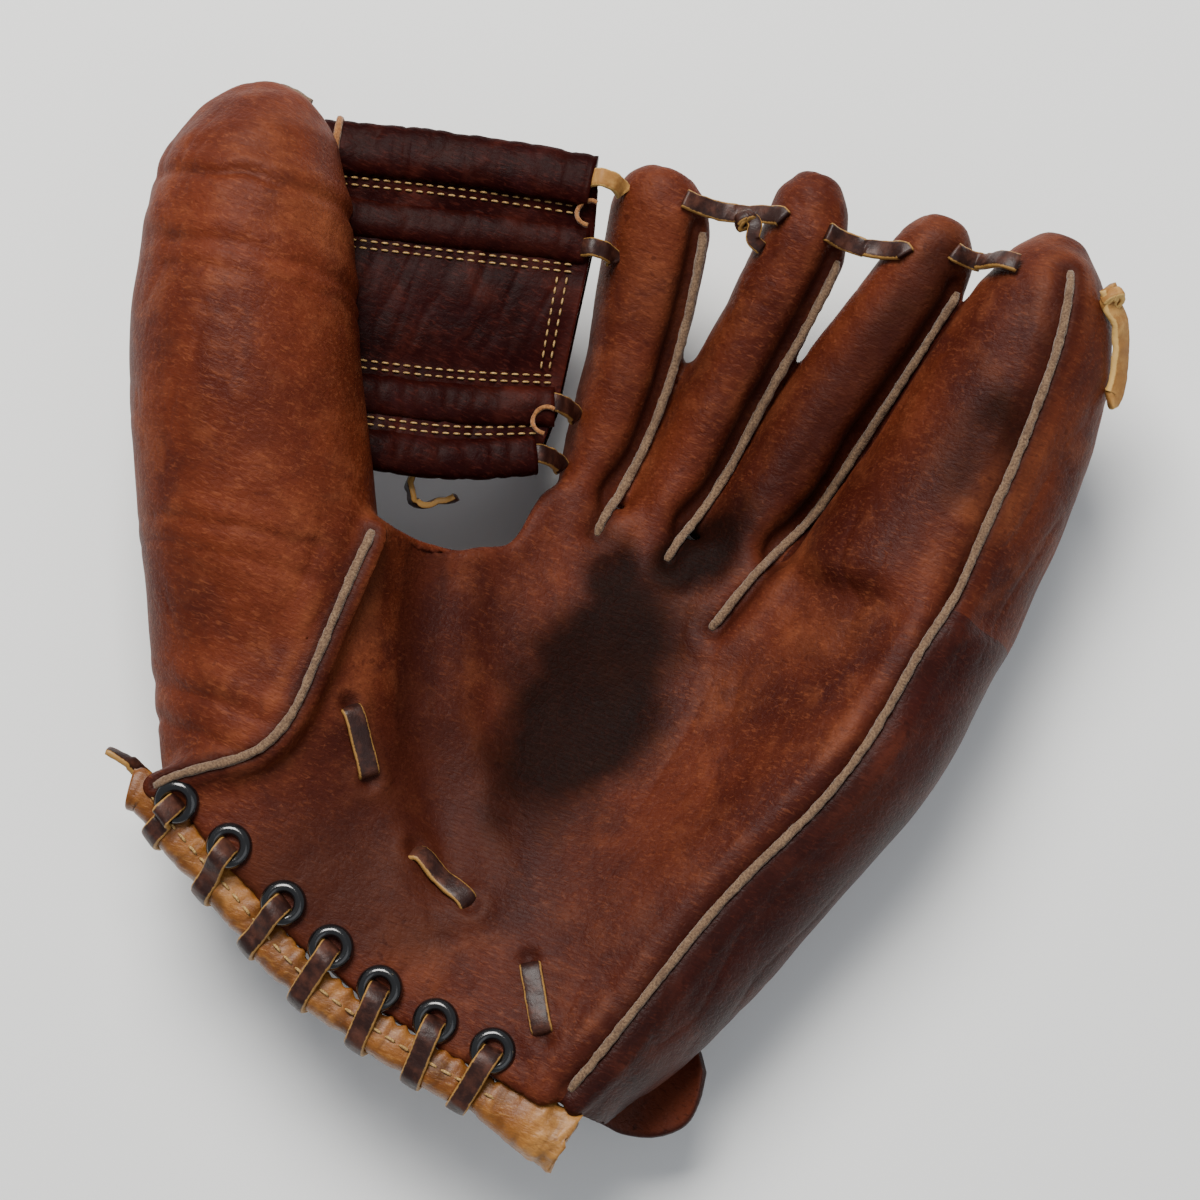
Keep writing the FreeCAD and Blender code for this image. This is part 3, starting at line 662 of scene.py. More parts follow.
def strap_leather(name, top, worn, edge, edge_at=0.86, rough=0.42):
    """A leather lace: a finished face and raw, paler cut edges."""
    material, tree, shader = new_tree(name)
    place = put(tree, "ShaderNodeTexCoord", "Object")
    mottled = texture_noise(tree, place, 180.0, 5.0, 0.62)
    fine = texture_noise(tree, place, 1300.0, 3.0, 0.65)
    tone = blend_colours(tree, ramp(tree, mottled, 0.42, 0.7), top, worn)
    side = maths(tree, "ABSOLUTE", attribute(tree, "across"))
    ragged = maths(tree, "ADD", side, maths(tree, "MULTIPLY", maths(tree, "SUBTRACT", fine, 0.5), 0.25))
    tone = blend_colours(tree, ramp(tree, ragged, edge_at - 0.06, edge_at + 0.06), tone, edge)
    fill_in(tree, shader, {
        "Base Color": tone,
        "Roughness": maths(tree, "ADD", maths(tree, "MULTIPLY", mottled, 0.25), rough - 0.1),
        "Specular IOR Level": 0.25,
        "Coat Weight": 0.08,
        "Coat Roughness": 0.3,
        "Normal": bump(tree, mottled, 0.4, 0.0008, bump(tree, fine, 0.4, 0.0003)),
    })
    return material


def enamel(name):
    """Black enamel on metal, chipped through in places."""
    material, tree, shader = new_tree(name)
    place = put(tree, "ShaderNodeTexCoord", "Object")
    chips = texture_noise(tree, place, 700.0, 4.0, 0.7)
    worn = ramp(tree, chips, 0.68, 0.74)
    tone = blend_colours(tree, worn, colour(14, 14, 16), colour(120, 105, 80))
    fill_in(tree, shader, {
        "Base Color": tone,
        "Roughness": maths(tree, "ADD", maths(tree, "MULTIPLY", chips, 0.2), 0.1),
        "Coat Weight": 0.6,
        "Coat Roughness": 0.08,
        "Normal": bump(tree, chips, 0.25, 0.0002),
    })
    return material


def thread(name, base):
    """Waxed thread with a fuzzy, uneven tone."""
    material, tree, shader = new_tree(name)
    place = put(tree, "ShaderNodeTexCoord", "Object")
    fuzz = texture_noise(tree, place, 2400.0, 2.0, 0.6)
    tone = blend_colours(tree, ramp(tree, fuzz, 0.3, 0.75), colour(120, 88, 44), base)
    fill_in(tree, shader, {"Base Color": tone, "Roughness": 0.7, "Normal": bump(tree, fuzz, 0.5, 0.0002)})
    return material


# Leathers: the colours of creases, of the face and of worn places.
palm_leather = leather(
    "palm_leather", colour(62, 21, 12), colour(100, 44, 25), colour(150, 84, 52), shine=0.1)
thumb_leather = leather(
    "thumb_leather", colour(76, 28, 15), colour(110, 49, 27), colour(158, 90, 56), shine=0.1)
side_leather = leather(
    "side_leather", colour(34, 9, 6), colour(60, 20, 14), colour(104, 50, 33), rough=0.42, shine=0.12)
web_leather = leather(
    "web_leather", colour(20, 2, 2), colour(37, 6, 5), colour(80, 34, 25),
    rough=0.42, grain=0.45, scratches=0.25, shine=0.04)
lining_leather = leather(
    "lining_leather", colour(98, 60, 34), colour(132, 90, 54), colour(160, 118, 76), rough=0.75)
binding_leather = leather(
    "binding_leather", colour(106, 58, 20), colour(152, 98, 40), colour(184, 134, 72),
    rough=0.36, grain=1.2, coat=0.2, shine=0.22)
welting = raw_leather("welting", colour(78, 54, 38), colour(138, 110, 82), scale=1.2)
raw_tan = raw_leather("raw_tan", colour(112, 66, 32), colour(168, 112, 58))
lace_leather = strap_leather("lace_leather", colour(40, 20, 16), colour(78, 44, 32), colour(160, 120, 64))
tan_lace = strap_leather(
    "tan_lace", colour(150, 104, 52), colour(184, 140, 78), colour(196, 158, 92), rough=0.7)
eyelet_enamel = enamel("eyelet_enamel")
cream_thread = thread("cream_thread", colour(200, 164, 104))

# ---------------------------------------------------------------- skins
body, distances = joined_body()
smooth_skin, quads = surface_of(body)
skin_tris = triangles(quads)[:, ::-1]

palm_low, palm_high = [np.array(corner) * 1000 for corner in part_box("palm_panel")]


def spot(u, v):
    """A plan position given as shares of the palm panel's width and length."""
    return palm_low[:2] + (palm_high - palm_low)[:2] * (u, v)


def blot(points, centre, half_sizes, lean=0.0):
    """1 at a plan position, falling to 0 at the edge of an ellipse round it."""
    x, y = (points[:, :2] - spot(*centre)).T
    c, s = math.cos(lean), math.sin(lean)
    gap = np.hypot((x * c + y * s) / half_sizes[0], (y * c - x * s) / half_sizes[1])
    return np.clip(1.5 - gap, 0.0, 1.0)


def plan_gap(points, line):
    """Distance in plan from each point to a line through plan positions."""
    out = np.full(len(points), 1e9)
    for a, b in zip(line, line[1:]):
        along = b - a
        share = np.clip(((points[:, :2] - a) @ along) / (along @ along), 0, 1)
        out = np.minimum(out, np.linalg.norm(points[:, :2] - a - share[:, None] * along, axis=1))
    return out


# The thumb's own direction, for creases that run across it.
thumb_centres = line_of("thumb_front", (0, 1, 0), 12)[0][3:10]
thumb_way = unit(thumb_centres[-1, :2] - thumb_centres[0, :2])
thumb_across = np.array([thumb_way[1], -thumb_way[0]])
thumb_points = arrays_of("thumb_front")[0]
thumb_low = (thumb_points[:, :2] @ thumb_way).min()
thumb_long = (thumb_points[:, :2] @ thumb_way).max() - thumb_low
thumb_left = (thumb_points[:, :2] @ thumb_across).min()
thumb_wide = (thumb_points[:, :2] @ thumb_across).max() - thumb_left
# Creases across the thumb: share along at its outer side, at its inner side, depth, width.
THUMB_CREASES = (
    (0.845, 0.805, 1.1, 1.6),
    (0.755, 0.685, 1.0, 1.9),
    (0.71, 0.66, 0.5, 1.4),
    (0.36, 0.31, 0.5, 1.5),
    (0.33, 0.26, 0.4, 1.3),
    (0.16, 0.03, 0.6, 1.8),
    (0.11, -0.03, 0.5, 1.6),
)
PALM_FOLD = ((0.235, 0.80), (0.27, 0.66), (0.32, 0.52), (0.40, 0.40), (0.46, 0.31))
# Blots on the palm and fingers: middle, half sizes, lean, strength.
STAINS = (
    ((0.55, 0.675), (19.5, 37.0), -0.12, 1.15),
    ((0.625, 0.98), (10.0, 20.0), -0.5, 0.95),
    ((0.51, 0.88), (10.0, 12.0), 0.0, 0.8),
    ((0.50, 0.46), (10.0, 16.0), 0.0, 0.55),
    ((0.985, 1.32), (9.0, 24.0), -0.25, 0.55),
    ((0.80, 1.52), (7.0, 20.0), -0.3, 0.5),
    ((0.50, 1.42), (5.0, 26.0), 0.1, 0.4),
)
# Painted shade: blots that darken the heel, the low palm and the inner side of two fingers.
PAINTED_SHADE_BLOTS = (
    ((0.40, 0.36), (25.0, 28.0), 0.2, 0.9),
    ((0.29, 0.19), (26.0, 20.0), 0.3, 0.65),
    ((0.66, 0.34), (40.0, 30.0), 0.4, 0.35),
    ((0.75, 1.33), (8.0, 40.0), -0.3, 0.75),
    ((0.96, 1.36), (12.0, 42.0), -0.3, 0.4),
    ((0.36, 0.66), (14.0, 30.0), 0.1, 0.4),
)


def surface_tree(points, tris):
    return BVHTree.FromPolygons([tuple(p) for p in points.tolist()], [tuple(t) for t in tris.tolist()])


def nearest(tree, line):
    """The nearest places on a surface to a line's points, and the surface's normals there."""
    found = [tree.find_nearest(Vector(point))[:2] for point in line]
    return np.array([hit[0] for hit in found]), np.array([hit[1] for hit in found])


def long_axis(points):
    """The direction in which a set of points is longest."""
    return np.linalg.svd(points - points.mean(axis=0), full_matrices=False)[2][0]


lace_lines = []
for part in islands("palm_laces"):
    axis = long_axis(part[0][np.unique(part[1])])
    lace_lines.append(centreline(*part, axis * np.sign(-axis[1]), 30)[0])

smooth_tree = surface_tree(smooth_skin, skin_tris)
seam_volume = np.full(tuple(cell_count), BAND, np.float32)
for line in welt_lines.values():
    add_tube(seam_volume, nearest(smooth_tree, line)[0], 0.0, reach=BAND)
seam_gap = sampled(seam_volume, smooth_skin)
slit_gap = np.full(len(smooth_skin), 99.0)
for line in lace_lines:
    for end in nearest(smooth_tree, line[[0, -1]])[0]:
        slit_gap = np.minimum(slit_gap, np.linalg.norm(smooth_skin - end, axis=1))
skin_normals = vertex_normals(smooth_skin, skin_tris)
facing_up = smooth(0.0, 0.5, skin_normals[:, 2])


def creased(points):
    """How far each point of the smooth skin moves along its normal."""
    on_thumb = smooth(-36.0, -50.0, points[:, 0])
    along_thumb = (points[:, :2] @ thumb_way - thumb_low) / thumb_long
    across_thumb = (points[:, :2] @ thumb_across - thumb_left) / thumb_wide
    # Leather sinks at a seam and swells beside it, and is never quite even.
    out = -1.7 * np.exp(-(seam_gap / 2.6) ** 2) + 0.6 * np.exp(-((seam_gap - 7.0) / 3.2) ** 2)
    out += 0.55 * noise(points, 27.0, 1) + 0.3 * noise(points, 12.0, 2)
    bent = points + 4.0 * noise(points, 22.0, 3)[:, None]
    lengthways = ridges(bent * (1.0, 0.45, 1.0), 11.0, 4)
    out -= 0.35 * lengthways * smooth(-0.2, 0.5, noise(points, 40.0, 5))
    crossways = ridges(bent * (0.5, 1.0, 1.0), 9.0, 6)
    out -= 0.28 * crossways * smooth(-0.1, 0.6, noise(points, 36.0, 7))
    for outer, inner, depth, width in THUMB_CREASES:
        level = outer + (inner - outer) * across_thumb + 0.006 * noise(points, 9.0, 8)
        gap = (along_thumb - level) * thumb_long
        crease = np.exp(-(gap / width) ** 2) - 0.6 * np.exp(-((gap - 2.6 * width) / (1.6 * width)) ** 2)
        fading = smooth(0.0, 0.16, across_thumb) * (0.75 + 0.35 * noise(points, 16.0, 9))
        out -= depth * crease * on_thumb * fading
    fold_gap = plan_gap(points, [spot(*p) for p in PALM_FOLD])
    valley, bank = np.exp(-(fold_gap / 7.0) ** 2), np.exp(-((fold_gap - 13.0) / 6.0) ** 2)
    out -= (2.4 * valley - 0.9 * bank) * facing_up
    near_heel = smooth(34.0, 8.0, plan_gap(points, binding_line[::8, :2]))
    out -= 0.55 * ridges(bent * (1.0, 0.35, 0.6), 6.5, 10) * near_heel
    out += 0.5 * noise(points * (1.0, 0.5, 1.0), 9.0, 11) * near_heel
    # It dips at each slit for a palm lace and swells round it.
    dip, swell = np.exp(-(slit_gap / 2.2) ** 2), np.exp(-((slit_gap - 4.5) / 2.0) ** 2)
    return out - 1.0 * dip + 0.4 * swell


binding_line, binding_halves = line_of("heel_binding", (1, 0, 0), 120)
move = creased(smooth_skin)
skin = smooth_skin + skin_normals * move[:, None]

stain_and_shade = np.max([strength * blot(skin, *where) for *where, strength in STAINS], axis=0)
stain_and_shade = stain_and_shade + 0.16 * noise(skin, 12.0, 12) * (stain_and_shade > 0) + 0.05 * noise(skin, 5.0, 13)
wear = 0.3 * smooth(0.2, 0.9, noise(skin, 24.0, 14)) + 0.3 * smooth(0.6, 1.2, move)
wear += 0.2 * blot(skin, (0.36, 0.22), (26.0, 15.0))
wear = np.clip(wear * (1 - smooth(0.2, 0.8, stain_and_shade)), 0, 1)
# Dirt darkens the leather along the seams and at the lace slits. The rest is painted shade: darker where
# the leather sinks into creases and hollows, and where it faces up.
dirt_and_shade = np.exp(-(seam_gap / 3.0) ** 2) + np.exp(-(slit_gap / 2.2) ** 2) + 0.5 * smooth(0.5, 1.6, -move)
dirt_and_shade += 0.35 * smooth(-0.25, 0.6, skin_normals[:, 2])
# The painted shade blots are added to the same darkening values.
for *where, strength in PAINTED_SHADE_BLOTS:
    dirt_and_shade += strength * blot(skin, *where) * (0.85 + 0.3 * noise(skin, 13.0, 15))
skin_values = {"stain_and_shade": np.clip(stain_and_shade, 0, 1.2), "wear": wear, "dirt_and_shade": np.clip(dirt_and_shade, 0, 1)}
skin_tree = surface_tree(skin, skin_tris)


def on_skin(line, above=0.0, soften=9):
    """A line moved onto the leather, and the leather's smoothed normals along it."""
    places, outs = nearest(skin_tree, line)
    kernel = np.hanning(soften + 2)[1:-1]
    kernel /= kernel.sum()
    for values in (outs, places):
        padded = np.pad(values, ((soften // 2, soften // 2), (0, 0)), mode="edge")
        for k in range(3):
            values[:, k] = np.convolve(padded[:, k], kernel, mode="valid")
    outs = unit(outs)
    return places + outs * np.broadcast_to(above, len(line))[:, None], outs


def from_above(line, above=0.0):
    """A line dropped straight down onto the leather, evened out along its length."""
    places, outs = [], []
    for point in line:
        hit = skin_tree.ray_cast(Vector((point[0], point[1], 150.0)), Vector((0, 0, -1)))
        if hit[0] is None:
            hit = skin_tree.find_nearest(Vector(point))
        places.append(hit[0])
        outs.append(hit[1])
    places, outs = evened(np.array(places), 30), evened(np.array(outs), 30)
    for point in places:
        hit = skin_tree.ray_cast(Vector((point[0], point[1], 150.0)), Vector((0, 0, -1)))[0]
        if hit is not None:
            point[2] = max(point[2], hit[2])
    outs = unit(outs)
    return evened(places, 3) + outs * above, outs


# ---------------------------------------------------------------- leather panels
GROUP_LOOKS = {
    "palm_and_finger_leather": (palm_leather, "palm_leather"),
    "outer_side_leather": (side_leather, "side_leather"),
    "back_leather": (side_leather, "side_leather"),
    "crotch_leather": (side_leather, "side_leather"),
    "thumb_front_leather": (thumb_leather, "thumb_leather"),
    "thumb_back_leather": (side_leather, "side_leather"),
    "thumb_lining": (lining_leather, "lining_leather"),
    "hand_lining": (lining_leather, "lining_leather"),
}
values = dict(skin_values)
for label, names in GROUPS.items():
    gaps = [np.maximum(sampled(distances[name], smooth_skin), 0) for name in names]
    values["gap_" + label] = np.min(gaps, axis=0)
# Where an outer leather is close by, it wins over the lining.
near_outer = [smooth(4.2, 2.6, values["gap_" + label])
              for label in ("palm_and_finger_leather", "outer_side_leather")]
values["gap_hand_lining"] += 3.0 * np.max(near_outer, axis=0)
del distances, body
rest = (skin, skin_tris, values)
labels = list(GROUPS)
for k, label in enumerate(labels):
    points, tris, values = rest
    if k < len(labels) - 1:
        others = np.min([values["gap_" + other] for other in labels[k + 1:]], axis=0)
        piece, rest = split(points, tris, values, values["gap_" + label] - others + 1e-4)
    else:
        piece = rest
    points, tris, values = piece
    material, slot = GROUP_LOOKS.get(label, (side_leather, "side_leather"))
    shown = {key: values[key] for key in ("stain_and_shade", "wear", "dirt_and_shade")}
    make(label, points, tris, shown, material, GROUPS[label], "blend")

# ---------------------------------------------------------------- welts
for k, name in enumerate(welt_lines):
    settle = on_skin if "tip" in name else from_above
    line, out = settle(resampled(welt_lines[name], 0.8), 0.55)
    run = along_line(line)[1]
    if "tip" not in name:
        line = line - out * (1.5 * np.exp(-(np.minimum(run, run[-1] - run) / 1.5) ** 2))[:, None]
    wide = 1.2 + 0.15 * noise(line, 6.0, 20 + k)
    points, tris, values = roughened(ribbon(line, out, wide, 1.3, 2.6, 14), 0.2, 1.5, 30 + k)
    moves = "thumb" if "tip" in name else "blend"
    make(name + "_edge", points, tris, None, welting, [name], moves)

# ---------------------------------------------------------------- palm laces
spans = []
for line in lace_lines:
    line = resampled(line, 0.7)
    share = np.linspace(0, 1, len(line))
    near_slit = np.clip(1 - np.minimum(share, 1 - share) / 0.09, 0, 1) ** 1.5
    line, out = on_skin(line, 1.0 + 0.5 * np.sin(math.pi * share) - 3.2 * near_slit, 9)
    spans.append(roughened(ribbon(line, out, 2.9, 0.9, 4.0, 18), 0.12, 2.2, 41))
points, tris, values = merged(spans)
make("palm_lace_spans", points, tris, values, lace_leather, ["palm_laces"], "blend")

# ---------------------------------------------------------------- heel: eyelets, binding and whip lace


def lathed(centre, out, profile, around=40):
    """A ring of (radius, height) points turned about an axis."""
    side = unit(np.cross(out, (0.31, 0.95, 0.05)))
    other = np.cross(out, side)
    turn = np.linspace(0, 2 * math.pi, around, endpoint=False)
    profile = np.array(profile)
    rim = side * np.cos(turn)[:, None] + other * np.sin(turn)[:, None]
    points = (centre + rim[:, None, :] * profile[None, :, :1] + out * profile[None, :, 1:]).reshape(-1, 3)
    rows = len(profile)
    i, j = np.meshgrid(np.arange(around), np.arange(rows - 1), indexing="ij")
    a = (i * rows + j).ravel()
    b = (((i + 1) % around) * rows + j).ravel()
    tris = np.vstack([np.stack([a, b + 1, b], 1), np.stack([a, a + 1, b + 1], 1)])
    return points, tris, {}


RING_PROFILE = [(2.6, -3.0), (2.7, -0.6), (2.9, 0.7), (3.3, 1.45), (4.0, 1.85), (4.8, 1.8), (5.6, 1.3),
                (6.1, 0.5), (6.2, -0.4)]
rings, eyelets = [], []
for points, tris in islands("heel_eyelets"):
    used = points[np.unique(tris)]
    middle = (used.min(0) + used.max(0)) / 2
    inland = nearest(skin_tree, [middle + np.array([2.0, 6.0, 0])])[1][0]
    out = unit(inland * 0.5 + np.array([-0.02, -0.12, 1.0]))
    place = middle - np.array([0, 0, 1.9])
    rings.append(lathed(place, out, RING_PROFILE))
    eyelets.append((place, out))
points, tris, values = merged(rings)
make("heel_eyelet_rings", points, tris, values, eyelet_enamel, ["heel_eyelets"], "hand")

edge = resampled(binding_line, 0.7)
edge_along, edge_run = along_line(edge)
edge_out = unit(np.stack([edge_along[:, 1], -edge_along[:, 0], np.zeros(len(edge))], axis=1))
edge_tall = binding_halves[:, 2].mean()
edge_wide = binding_halves[:, 1].min()
lace_at = [int(np.linalg.norm((edge - place)[:, :2], axis=1).argmin()) for place, _ in eyelets]
around = 40
turn, to_side, to_top = superellipse(around, 0.85)
spread = np.min([np.abs(edge_run - edge_run[k]) for k in lace_at], axis=0)
puff = 0.8 * smooth(1.5, 6.0, spread)[:, None]
swell = 3.0 * smooth(edge_run[-1] - 26.0, edge_run[-1] - 6.0, edge_run)[:, None]
flap = np.exp(-((turn - 2.45) / 0.45) ** 2)[None, :]
scallop = 0.55 * np.cos(edge_run * 2 * math.pi / 4.4)[:, None] * flap
wide = (edge_wide + puff + swell) * to_side - flap * 3.0 + scallop
tall = (edge_tall - 0.3 + 0.7 * puff + 0.35 * swell) * to_top + flap * 0.5
rings = edge[:, None, :] + edge_out[:, None, :] * wide[:, :, None]
rings = rings + UP * tall[:, :, None]
points, tris = closed_tube(rings, edge[0], edge[-1])
normals = vertex_normals(points, tris)
flow = np.concatenate([np.repeat(edge_run, around), [0, edge_run[-1]]])
folds = ridges(np.stack([flow, points[:, 1] * 0.25, points[:, 2] * 0.25], 1), 2.6, 50)
fray = smooth(edge_run[-1] - 16.0, edge_run[-1], flow)
shift = -0.3 * folds + 0.2 * noise(points, 5.0, 51) + 0.9 * fray * noise(points, 2.0, 52)
points = points + normals * shift[:, None]
spots = 0.5 * smooth(0.3, 0.8, noise(points, 9.0, 53))
# The sunk folds are painted darker, as shade in them; the spots are stains and the frayed end is worn.
values = {"stain_and_shade": spots, "wear": 0.6 * fray, "dirt_and_shade": 0.5 * folds}
make("heel_binding_band", points, tris, values, binding_leather, ["heel_binding"],
     "blend")

row = edge - edge_out * (edge_wide * 0.5) + np.array([0, 0, edge_tall * 1.03])
lean = unit(UP - edge_out * 0.35)
points, tris, values = stitches(row[6:-30], lean[6:-30], 3.0, 1.3, 0.42)
make("heel_binding_stitching", points, tris, None, cream_thread, (), "blend")

wraps = []
for k, (place, out) in enumerate(eyelets):
    n = lace_at[k]
    centre, m, t = edge[n], edge_out[n], edge_along[n]
    tall, wide = edge_tall + 0.9, edge_wide + 1.2
    drift = (-0.8 if k < len(eyelets) - 1 else 0.5) * (1.0 + 0.25 * math.sin(k * 2.1))
    line = [
        place - out * 2.6 - m * 0.4,
        place + out * 1.2 + m * 0.6,
        place + out * 2.7 + m * 4.4 - t * 0.9 * drift,
        centre + UP * tall - m * 0.5 - t * 2.2 * drift,
        centre + UP * tall * 0.74 + m * wide * 0.72 - t * 3.0 * drift,
        centre + m * (wide + 0.2) + UP * 0.5 - t * 3.6 * drift,
        centre - UP * tall * 0.72 + m * wide * 0.72 - t * 4.0 * drift,
        centre - UP * (tall + 0.2) - m * 0.5 - t * 4.4 * drift,
    ]
    line = curved(line, 9)
    tangent = along_line(line)[0]
    outward = unit(np.cross(tangent, np.broadcast_to(t, line.shape)))
    outward *= np.sign((outward * (line - centre + UP * 0.01)).sum(axis=1).mean())
    wraps.append(roughened(ribbon(line, outward, 2.9, 0.95, 4.0, 18), 0.14, 2.4, 60 + k))
points, tris, values = merged(wraps)
make("heel_whip_lace", points, tris, values, lace_leather, ["heel_lace"], "blend")


# ---------------------------------------------------------------- laces between the finger tips
def lace_piece(name, node, axis, material, body="hand", half_width=2.7, half_thick=1.0, extra=(),
               wobble=0.3, start=None, finish=None):
    """A lace along its CAD line, with a little sag and rough edges."""
    line = line_of(node, axis, 24)[0]
    if start is not None:
        line = np.vstack([line[0] + start, line])
    if finish is not None:
        line = np.vstack([line, line[-1] + finish])
    line = resampled(line, 0.7)
    line = line + wobble * np.stack([noise(line, 5.0, seed) for seed in (70, 71, 72)], axis=1)
    place = nearest(skin_tree, line)[0]
    out = unit(line - place + np.array([0, 0, 1.5]))
    lace = roughened(ribbon(line, out, half_width, half_thick, 4.0, 16), 0.14, 2.0, 73)
    points, tris, values = merged([lace, *extra])
    return make(name, points, tris, values, material, [node], body)


def knot(centre, size, seed):
    """A small overhand knot of lace: a few short turns round one another."""
    parts = []
    for k in range(3):
        turn = np.linspace(0, 2 * math.pi, 15)[:-2]
        a, b = 0.9 + 0.8 * k, 0.4 + 1.1 * k
        x = np.cos(turn) * math.cos(a)
        y = np.cos(turn) * math.sin(a) * math.cos(b) + np.sin(turn) * 0.5
        z = np.sin(turn) * 0.8 + np.cos(turn) * math.sin(b) * 0.4
        loop = np.stack([x, y, z], axis=1) * size
        line = curved(centre + loop, 4)
        parts.append(roughened(ribbon(line, unit(line - centre), 1.6, 0.9, 3.0, 10), 0.15, 1.8, seed + k))
    return merged(parts)


first_tip = line_of("tip_lace_index_middle", (1, 0, 0), 9)[0]
tail_steps = np.array([(0, -3, 1), (1, -7, 0), (4, -8, -2)])
tail = curved([first_tip[5], *(first_tip[6] + tail_steps)], 8)
tip_knot = knot(first_tip[5] + (0.5, -2.0, 0.8), 2.2, 80)
tip_tail = ribbon(tail, (0, 0, 1), 2.0, 0.8, 4.0, 12)
lace_piece("index_middle_tip_lace", "tip_lace_index_middle", (1, 0, 0), lace_leather,
           extra=[tip_knot, tip_tail])
lace_piece("middle_ring_tip_lace", "tip_lace_middle_ring", (1, 0, 0), lace_leather)
lace_piece("ring_pinky_tip_lace", "tip_lace_ring_pinky", (1, 0, 0), lace_leather)
pinky_line = line_of("pinky_lace_tail", (0, 1, 0), 20)[0]
lace_piece("pinky_tip_lace", "pinky_lace_tail", (0, 1, 0), tan_lace, half_width=3.2, half_thick=1.2,
           extra=[knot(pinky_line[-3] + (0, 0, 0.6), 2.6, 90)])
strap_lace_line = line_of("strap_lace", (1, 0, 0), 24)[0]
to_skin = np.array(skin_tree.find_nearest(Vector(strap_lace_line[-1]))[0]) - strap_lace_line[-1]
lace_piece("strap_lace_end", "strap_lace", (1, 0, 0), lace_leather, "blend", finish=to_skin * 1.1)

# ---------------------------------------------------------------- wrist strap
strap_line = line_of("wrist_strap", (1, 0, 0), 90)[0]
strap_foot = np.array(skin_tree.find_nearest(Vector(strap_line[0]))[0])
strap_foot = strap_foot + 0.15 * (strap_foot - strap_line[0])
strap_line = evened(resampled(np.vstack([strap_foot, strap_line]), 1.5), 12)
strap_along, strap_run = along_line(strap_line)
sideways = np.array([0, 1.0, 0]) - strap_along * strap_along[:, 1:2]
strap_out = unit(np.cross(sideways, strap_along))
strap_out *= -np.sign(strap_out[len(strap_out) // 2, 2])
to_end = np.minimum(strap_run, strap_run[-1] - strap_run)
strap_wide = 15.0 * np.sqrt(np.clip(1 - np.clip(1 - to_end / 15.0, 0, 1) ** 2, 0.06, 1))
points, tris, values = ribbon(strap_line, strap_out, strap_wide, 1.4, 5.0, 36)
points, tris, values = roughened((points, tris, values), 0.3, 11.0, 95)
shown = {"stain_and_shade": np.full(len(points), 0.25), "wear": 0.9 * (values["height"] < 0),
         "dirt_and_shade": smooth(0.9, 0.99, np.abs(values["across"]))}
make("wrist_strap_leather", points, tris, shown, side_leather, ["wrist_strap"], "blend")

# ---------------------------------------------------------------- web
WEB_ROLLS = ("web_bottom_roll", "web_lower_roll", "web_upper_roll", "web_top_roll")
roll_lines = {}
for name in WEB_ROLLS:
    line = centreline(*arrays_of(name), (1, 0, 0), 30, inset=0.16)[0]
    low_x, high_x = [corner[0] * 1000 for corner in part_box(name)]
    to_thumb, to_index = unit(line[0] - line[5]), unit(line[-1] - line[-6])
    reach_out = {"web_upper_roll": 1.5, "web_lower_roll": 2.0}.get(name, 0.0)
    index_end = line[-1] + to_index * ((high_x - line[-1, 0]) / to_index[0] + reach_out)
    thumb_end = line[0] + to_thumb * (low_x - line[0, 0]) / to_thumb[0]
    touch = skin_tree.ray_cast(Vector(line[0]), Vector(to_thumb), 45.0)[0]
    if touch is not None:
        thumb_end = np.array(touch) + to_thumb * 1.0
    line = np.vstack([thumb_end, line, index_end])
    if name == "web_top_roll":
        line = line + np.array([0.4, 1.7, 0.6])
    roll_lines[name] = resampled(line, 1.0)
for k, name in enumerate(WEB_ROLLS):
    line = roll_lines[name]
    fat = (7.4 if name == "web_top_roll" else 5.75) + 0.25 * noise(line, 14.0, 100 + k)
    points, tris, values = ribbon(line, (0, 0, 1), fat, 3.6, 2.4, 36)
    stretch = np.stack([values["along"], points[:, 1] * 0.3, points[:, 2] * 0.3], axis=1)
    folds = ridges(stretch, 6.5, 110 + k) + 0.7 * ridges(stretch, 3.2, 120 + k)
    shift = 0.2 - 0.42 * folds + 0.2 * noise(points, 9.0, 130 + k)
    points = points + vertex_normals(points, tris) * shift[:, None]
    # The sunk folds are painted darker, as shade in them.
    shown = {"stain_and_shade": 0.1 * folds, "wear": 0.35 * smooth(0.3, 0.9, noise(points, 8.0, 140 + k)),
             "dirt_and_shade": 0.6 * np.clip(folds, 0, 1)}
    make(name + "_leather", points, tris, shown, web_leather, [name], "blend")


def across_web(share_along, share_up, lift):
    """A point of the web's front: 0 to 3 in share_up runs from the bottom roll to the top roll."""
    below = min(int(share_up), 2)
    part = share_up - below
    ends = []
    for name in (WEB_ROLLS[below], WEB_ROLLS[below + 1]):
        line = roll_lines[name]
        count = len(line)
        line = np.vstack([line, line[-1] + (line[-1] - line[-3]) * 4.0])
        steps = np.append(np.arange(count), count + 7)
        ends.append([np.interp(share_along * (count - 1), steps, line[:, a]) for a in range(3)])
    ends = np.array(ends)
    return ends[0] * (1 - part) + ends[1] * part + np.array([0, 0, lift])


